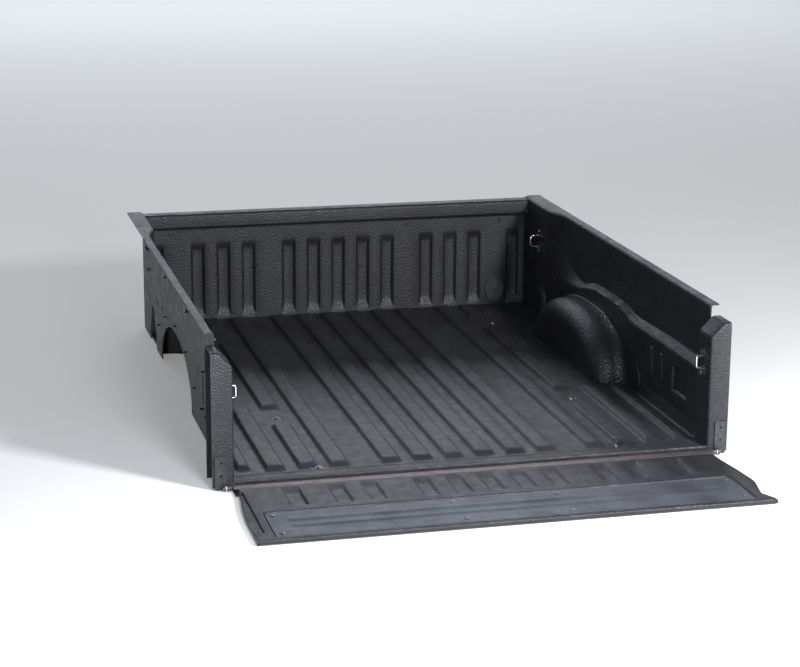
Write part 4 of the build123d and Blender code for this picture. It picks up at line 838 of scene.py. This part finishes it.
def make_post():
    """Cover over the bed's rear post, open outboard and below."""
    shoulder = FLOOR_TOP + POST_SHOULDER
    slope_x = POST_X + POST_SLOPE
    outline = [(post_high.x, post_low.z), (POST_X, post_low.z), (POST_X, shoulder),
               (slope_x, post_high.z), (post_high.x, post_high.z)]
    y1, y2 = post_low.y, post_high.y
    shape = bmesh.new()
    rear = [shape.verts.new((x / 1000, y1 / 1000, z / 1000)) for x, z in outline]
    ahead = [shape.verts.new((x / 1000, y2 / 1000, z / 1000)) for x, z in outline]
    shape.faces.new(rear[::-1])
    shape.faces.new(ahead)
    for i in (1, 2, 3):
        shape.faces.new((rear[i], rear[i + 1], ahead[i + 1], ahead[i]))
    bmesh.ops.recalc_face_normals(shape, faces=shape.faces)
    inner = [e for e in shape.edges if len(e.link_faces) == 2]
    bmesh.ops.bevel(shape, geom=inner, offset=POST_EDGE / 1000, segments=5, profile=0.5,
                    affect="EDGES")
    mesh = bpy.data.meshes.new("post_skin_right")
    bmesh.ops.solidify(shape, geom=shape.faces[:], thickness=SHELL / 1000)
    bmesh.ops.recalc_face_normals(shape, faces=shape.faces)
    shape.to_mesh(mesh)
    shape.free()
    mesh.shade_smooth()
    mesh.set_sharp_from_angle(angle=SMOOTH_ANGLE)
    return add("post_skin_right", mesh)


post_right = make_post()
post_left = mirrored(post_right, "post_skin_left")
dress(post_right, LINER, "bed", "liner_plastic", "rear_post_cover_right")
dress(post_left, LINER, "bed", "liner_plastic", "rear_post_cover_left")

# ---------------------------------------------------------------- tailgate panel
gate_front_y, gate_rear_y = gate_high.y, gate_low.y
GATE_X = gate_high.x
GATE_FLUTES = ((0.0, 26.0), (97.0, 26.0), (198.0, 26.0), (356.0, 26.0), (457.0, 26.5), (591.0, 27.5))
FLUTE_NEAR, FLUTE_FAR, FLUTE_FACET = 46.0, 211.0, 37.0
BAY_X = GATE_X - 55.0
BAY_NEAR, BAY_FAR, BAY_DEPTH, BAY_CORNER = 249.0, 457.0, 8.0, 20.0
STRIP_X, STRIP_DROP, STRIP_NEAR, STRIP_FAR = GATE_X - 32.0, 5.5, 64.0, 415.0
NOTCH = 24.0
GATE_FLUTE_DEPTH, COVER_BEAD_HALF = 8.0, 15.0
NOTCH_START, NOTCH_FLOOR, NOTCH_END = 309.0, 411.0, 464.0


def gate_half_width(d, notch):
    """Half width at a distance d behind the hinge axis."""
    steps = [(0, POST_X), (31, POST_X), (106, GATE_X - 18), (192, GATE_X - 7), (280, GATE_X - 1),
             (NOTCH_START, GATE_X), (NOTCH_FLOOR, GATE_X - notch), (NOTCH_END, GATE_X), (600, GATE_X)]
    at, width = zip(*steps)
    total = 0
    for shift in (-9, -6, -3, 0, 3, 6, 9):
        total = total + np.interp(d + shift, at, width)
    return total / 7


def rounded_bay(x, d, spread=0.0):
    """Distance inside the access cover's rounded bay."""
    hx = BAY_X + spread - BAY_CORNER
    hd = (BAY_FAR - BAY_NEAR) / 2 + spread - BAY_CORNER
    qx = np.abs(x) - hx
    qd = np.abs(d - (BAY_NEAR + BAY_FAR) / 2) - hd
    outside = np.hypot(np.maximum(qx, 0), np.maximum(qd, 0)) + np.minimum(np.maximum(qx, qd), 0)
    return BAY_CORNER - outside


def gate_depth(x, d):
    """How far the tailgate's face is pressed down; d behind the hinge axis."""
    depth = np.zeros_like(x)
    for centre, half in GATE_FLUTES:
        for side in (-1, 1):
            rect = (side * centre - half, side * centre + half, FLUTE_NEAR, FLUTE_FAR)
            depth = np.maximum(depth, GATE_FLUTE_DEPTH * pad(x, d, rect, (8, 8, FLUTE_FACET, 6)))
    depth = np.maximum(depth, BAY_DEPTH * clamp01((rounded_bay(x, d) + 1) / 4))
    lip = clamp01((rounded_bay(x, d, 9) + 2) / 5) * (1 - clamp01((rounded_bay(x, d) + 5) / 4))
    depth -= 0.9 * lip
    strip = clamp01((np.abs(x) - STRIP_X) / 3)
    strip = strip * clamp01((d - STRIP_NEAR) / 5) * clamp01((STRIP_FAR - d) / 5)
    depth += STRIP_DROP * strip
    return depth + ripple(x, d, 41, 0.4)


GATE_ROLL = 5.0
inner_limit = GATE_X - 28.0


def roll_off(distance, radius):
    """Inward and downward travel as a surface rolls over an edge; distance past the roll's start."""
    turn = np.clip(distance / radius, 0, math.pi / 2)
    straight = np.maximum(distance - radius * math.pi / 2, 0)
    return radius * np.sin(turn), radius * (1 - np.cos(turn)) + straight


gate_skirt = GATE_TOP - gate_low.z
skirt_length = GATE_ROLL * math.pi / 2 + gate_skirt - GATE_ROLL


def gate_place(u, v):
    """u across, v rearwards; both run on over rounded edges and down the skirt."""
    near, far = HINGE_Y - gate_front_y, HINGE_Y - gate_rear_y
    before = np.maximum(near + GATE_ROLL - v, 0)
    after = np.maximum(v - (far - GATE_ROLL), 0)
    in_before, down_before = roll_off(before, GATE_ROLL)
    in_after, down_after = roll_off(after, GATE_ROLL)
    d = np.clip(v, near + GATE_ROLL, far - GATE_ROLL) - in_before + in_after
    edge = np.where(u > 0, gate_half_width(d, NOTCH), gate_half_width(d, 0)) - GATE_ROLL
    past = np.maximum(np.abs(u) - (GATE_X - GATE_ROLL), 0)
    out, down_side = roll_off(past, GATE_ROLL)
    share = np.clip((np.abs(u) - inner_limit) / (GATE_X - GATE_ROLL - inner_limit), 0, 1)
    x = np.where(np.abs(u) <= inner_limit, np.abs(u), inner_limit + share * (edge - inner_limit)) + out
    x = x * np.sign(u)
    down = np.maximum(np.maximum(down_before, down_after), down_side)
    rolled = clamp01((np.maximum(np.maximum(before, after), past) - 0.5) / 3)
    z = GATE_TOP - gate_depth(x, d) * (1 - rolled) - down
    return stack(x, HINGE_Y - d, np.maximum(z, GATE_TOP - gate_skirt))


def make_gate():
    across, along = [], []
    for centre, half in GATE_FLUTES:
        for side in (-1, 1):
            across += edge_marks(side * centre, half, half - 8, 5)
    along += span_marks(FLUTE_NEAR, FLUTE_NEAR + FLUTE_FACET, 10) + span_marks(FLUTE_FAR - 6, FLUTE_FAR, 5)
    bay_lines = [-10, -8, -5, -3, -1, 1, 3, 5, 9, 14, 20, 27]
    across += [s * (BAY_X - k) for s in (-1, 1) for k in bay_lines]
    along += [BAY_NEAR + k for k in bay_lines] + [BAY_FAR - k for k in bay_lines]
    across += [s * (STRIP_X + k) for s in (-1, 1) for k in (-1.5, 0, 1.5, 3, 4.5)]
    along += [STRIP_NEAR + k for k in (-1, 1, 3, 5)] + [STRIP_FAR - k for k in (-1, 1, 3, 5)]
    near, far = HINGE_Y - gate_front_y, HINGE_Y - gate_rear_y
    roll = list(np.linspace(0, GATE_ROLL * math.pi / 2, 5)) + [skirt_length - 2]
    across += [s * (GATE_X - GATE_ROLL + k) for s in (-1, 1) for k in roll]
    along += [near + GATE_ROLL - k for k in roll] + [far - GATE_ROLL + k for k in roll]
    along += list(np.arange(60, 80, 4)) + list(np.arange(300, 476, 8))
    u = lines(-(GATE_X - GATE_ROLL + skirt_length), GATE_X - GATE_ROLL + skirt_length, 36, across)
    v = lines(near + GATE_ROLL - skirt_length, far - GATE_ROLL + skirt_length, 30, along)

    def keep(a, b):
        side = np.abs(a) > GATE_X - GATE_ROLL + GATE_ROLL * math.pi / 2
        end = b < near + GATE_ROLL - GATE_ROLL * math.pi / 2
        end |= b > far - GATE_ROLL + GATE_ROLL * math.pi / 2
        return ~(side & end)

    # v runs to -Y, so u is reversed to face the sheet upwards
    return formed_sheet("tailgate_skin", u[::-1], v, gate_place, keep)


dress(make_gate(), LINER, "tailgate", "liner_plastic", "tailgate_panel")

# ---------------------------------------------------------------- access cover
COVER_GAP, COVER_HEIGHT, COVER_ROLL = 3.0, 6.0, 2.5
COVER_BEADS = (321.0, 371.0)
SCREW_SPOTS = [(s * x, d) for x in (157.0, BAY_X - 26) for s in (-1, 1) for d in (278.0, 424.0)]


def cover_relief(x, d):
    """Pressed relief of the access cover over its flat face."""
    height = np.zeros_like(x)
    end = BAY_X - 58
    for bead in COVER_BEADS:
        rect = (-end, end, bead - COVER_BEAD_HALF, bead + COVER_BEAD_HALF)
        height += COVER_BEAD_HEIGHT * pad(x, d, rect, (9, 9, 9, 9), 0.35)
    height -= 1.3 * clamp01((np.abs(x) - (BAY_X - 26)) / 10)
    for spot in SCREW_SPOTS:
        height -= 0.8 * disc(x, d, spot, 12, 4)
    return height + ripple(x, d, 53, 0.3)


COVER_HALF_X, COVER_HALF_D = BAY_X - COVER_GAP, (BAY_FAR - BAY_NEAR) / 2 - COVER_GAP


def cover_place(u, v):
    """u and v run on over the cover's rounded edge and down its rim; corners are rounded in plan."""
    hx, hd, corner = COVER_HALF_X, COVER_HALF_D, BAY_CORNER - COVER_GAP
    over_u = np.maximum(np.abs(u) - (hx - COVER_ROLL), 0)
    over_v = np.maximum(np.abs(v) - (hd - COVER_ROLL), 0)
    out_u, down_u = roll_off(over_u, COVER_ROLL)
    out_v, down_v = roll_off(over_v, COVER_ROLL)
    x = np.minimum(np.abs(u), hx - COVER_ROLL) + out_u
    d = np.minimum(np.abs(v), hd - COVER_ROLL) + out_v
    down = np.maximum(down_u, down_v)
    a = np.clip((x - (hx - corner)) / corner, 0, 1)
    b = np.clip((d - (hd - corner)) / corner, 0, 1)
    both = (a > 0) & (b > 0)
    x = np.where(both, hx - corner + corner * a * np.sqrt(1 - b * b / 2), x)
    d = np.where(both, hd - corner + corner * b * np.sqrt(1 - a * a / 2), d)
    x, d = x * np.sign(u), d * np.sign(v) + (BAY_NEAR + BAY_FAR) / 2
    rolled = clamp01(np.maximum(over_u, over_v) / 2)
    z = COVER_TOP + cover_relief(x, d) * (1 - rolled) - down
    return stack(x, HINGE_Y - d, np.maximum(z, COVER_TOP - COVER_HEIGHT))


def make_cover():
    hx, hd, corner = COVER_HALF_X, COVER_HALF_D, BAY_CORNER - COVER_GAP
    rim = COVER_ROLL * math.pi / 2 + COVER_HEIGHT - COVER_ROLL
    roll = list(np.linspace(0, COVER_ROLL * math.pi / 2, 4))
    across = [s * (hx - COVER_ROLL + k) for s in (-1, 1) for k in roll]
    across += [s * (hx - k) for s in (-1, 1) for k in (4, 7, 10, 14, 17, 20, 24, 28, 32, 36)]
    across += [s * (BAY_X - 58 - k) for s in (-1, 1) for k in (-2, 1, 4, 7, 11)]
    centre = (BAY_NEAR + BAY_FAR) / 2
    along = [s * (hd - COVER_ROLL + k) for s in (-1, 1) for k in roll]
    along += [s * (hd - k) for s in (-1, 1) for k in (4, 7, 10, 14, 17)]
    for bead in COVER_BEADS:
        along += edge_marks(bead - centre, COVER_BEAD_HALF, 6, 7)
    for x, d in SCREW_SPOTS:
        across += [x + k for k in (-13, -10, -7, 0, 7, 10, 13)]
        along += [d - centre + k for k in (-13, -10, -7, 0, 7, 10, 13)]
    u = lines(-(hx - COVER_ROLL + rim), hx - COVER_ROLL + rim, 34, across)
    v = lines(-(hd - COVER_ROLL + rim), hd - COVER_ROLL + rim, 12, along)
    return formed_sheet("access_cover_skin", u[::-1], v, cover_place, thickness=3.5)


dress(make_cover(), COVER, "tailgate", "cover_plastic", "tailgate_access_cover")

# ---------------------------------------------------------------- CAD pieces that stay
replaced = {
    "floor_panel", "front_wall_panel", "front_top_cap", "side_panel_left", "side_panel_right",
    "wheel_cover_left", "wheel_cover_right", "rear_post_cover_left", "rear_post_cover_right",
    "tailgate_panel", "tailgate_access_cover",
}
node_slots = {part["node"]: part["material_slot"] for part in frame["record"]["subparts"]}
for node_name, node in frame["nodes"].items():
    if node_name in replaced:
        continue
    node.data.materials.clear()
    node.data.materials.append(SLOT_MATERIALS[node_slots[node_name]])

# ---------------------------------------------------------------- stage, light and camera
floor_mesh = bpy.data.meshes.new("studio_floor")
STAGE_HALF = 30.0
stage_corners = [(x * STAGE_HALF, y * STAGE_HALF, 0) for x, y in ((-1, -1), (1, -1), (1, 1), (-1, 1))]
floor_mesh.from_pydata(stage_corners, [], [(0, 1, 2, 3)])
studio_floor = add("studio_floor", floor_mesh)
backdrop = bpy.data.materials.new("studio_paint")
backdrop.use_nodes = True
paint = backdrop.node_tree.nodes["Principled BSDF"]
paint.inputs["Base Color"].default_value = (0.92, 0.92, 0.92, 1)
paint.inputs["Roughness"].default_value = 0.9
paint.inputs["Emission Color"].default_value = (1, 1, 1, 1)
paint.inputs["Emission Strength"].default_value = 0.22
floor_mesh.materials.append(backdrop)

world = bpy.data.worlds.new("studio")
bpy.context.scene.world = world
world.use_nodes = True
sky = world.node_tree.nodes["Background"]
sky.inputs["Color"].default_value = (0.93, 0.96, 1.0, 1)
sky.inputs["Strength"].default_value = 0.15


def area_light(name, place, target, size, energy, colour):
    lamp = bpy.data.lights.new(name, "AREA")
    lamp.shape = "RECTANGLE"
    lamp.size, lamp.size_y = size
    lamp.energy = energy
    lamp.color = colour
    holder = add(name, lamp)
    holder.location = place
    holder.rotation_euler = (Vector(target) - Vector(place)).to_track_quat("-Z", "Y").to_euler()


area_light("key", (1.5, -3.0, 1.9), (0, -1.1, 0.1), (0.5, 0.5), 165, (0.97, 0.98, 1.0))
area_light("low_rear", (-0.5, -2.6, 1.2), (0.7, 0.1, 0.0), (0.5, 0.4), 34, (0.84, 0.92, 1.0))
area_light("sheen", (1.5, 15.0, 6.0), (0, -0.6, 0.1), (14.0, 4.0), 640, (0.84, 0.91, 1.0))

YAW, PITCH, ROLL = math.radians(14.27), math.radians(14.71), math.radians(0.35)
camera = bpy.data.cameras.new("camera")
camera.sensor_width = 36.0
camera.lens = 94.8
camera.clip_end = 100.0
eye = add("camera", camera)
eye.location = (-1.7222, -6.5437, 2.0195)
forward = Vector((math.sin(YAW) * math.cos(PITCH), math.cos(YAW) * math.cos(PITCH), -math.sin(PITCH)))
level_right = Vector((math.cos(YAW), -math.sin(YAW), 0))
level_up = level_right.cross(forward)
right = level_right * math.cos(ROLL) + level_up * math.sin(ROLL)
up = right.cross(forward)
eye.rotation_mode = "QUATERNION"
eye.rotation_quaternion = Matrix((right, up, -forward)).transposed().to_quaternion()
bpy.context.scene.camera = eye
bpy.context.scene.view_settings.view_transform = "Standard"
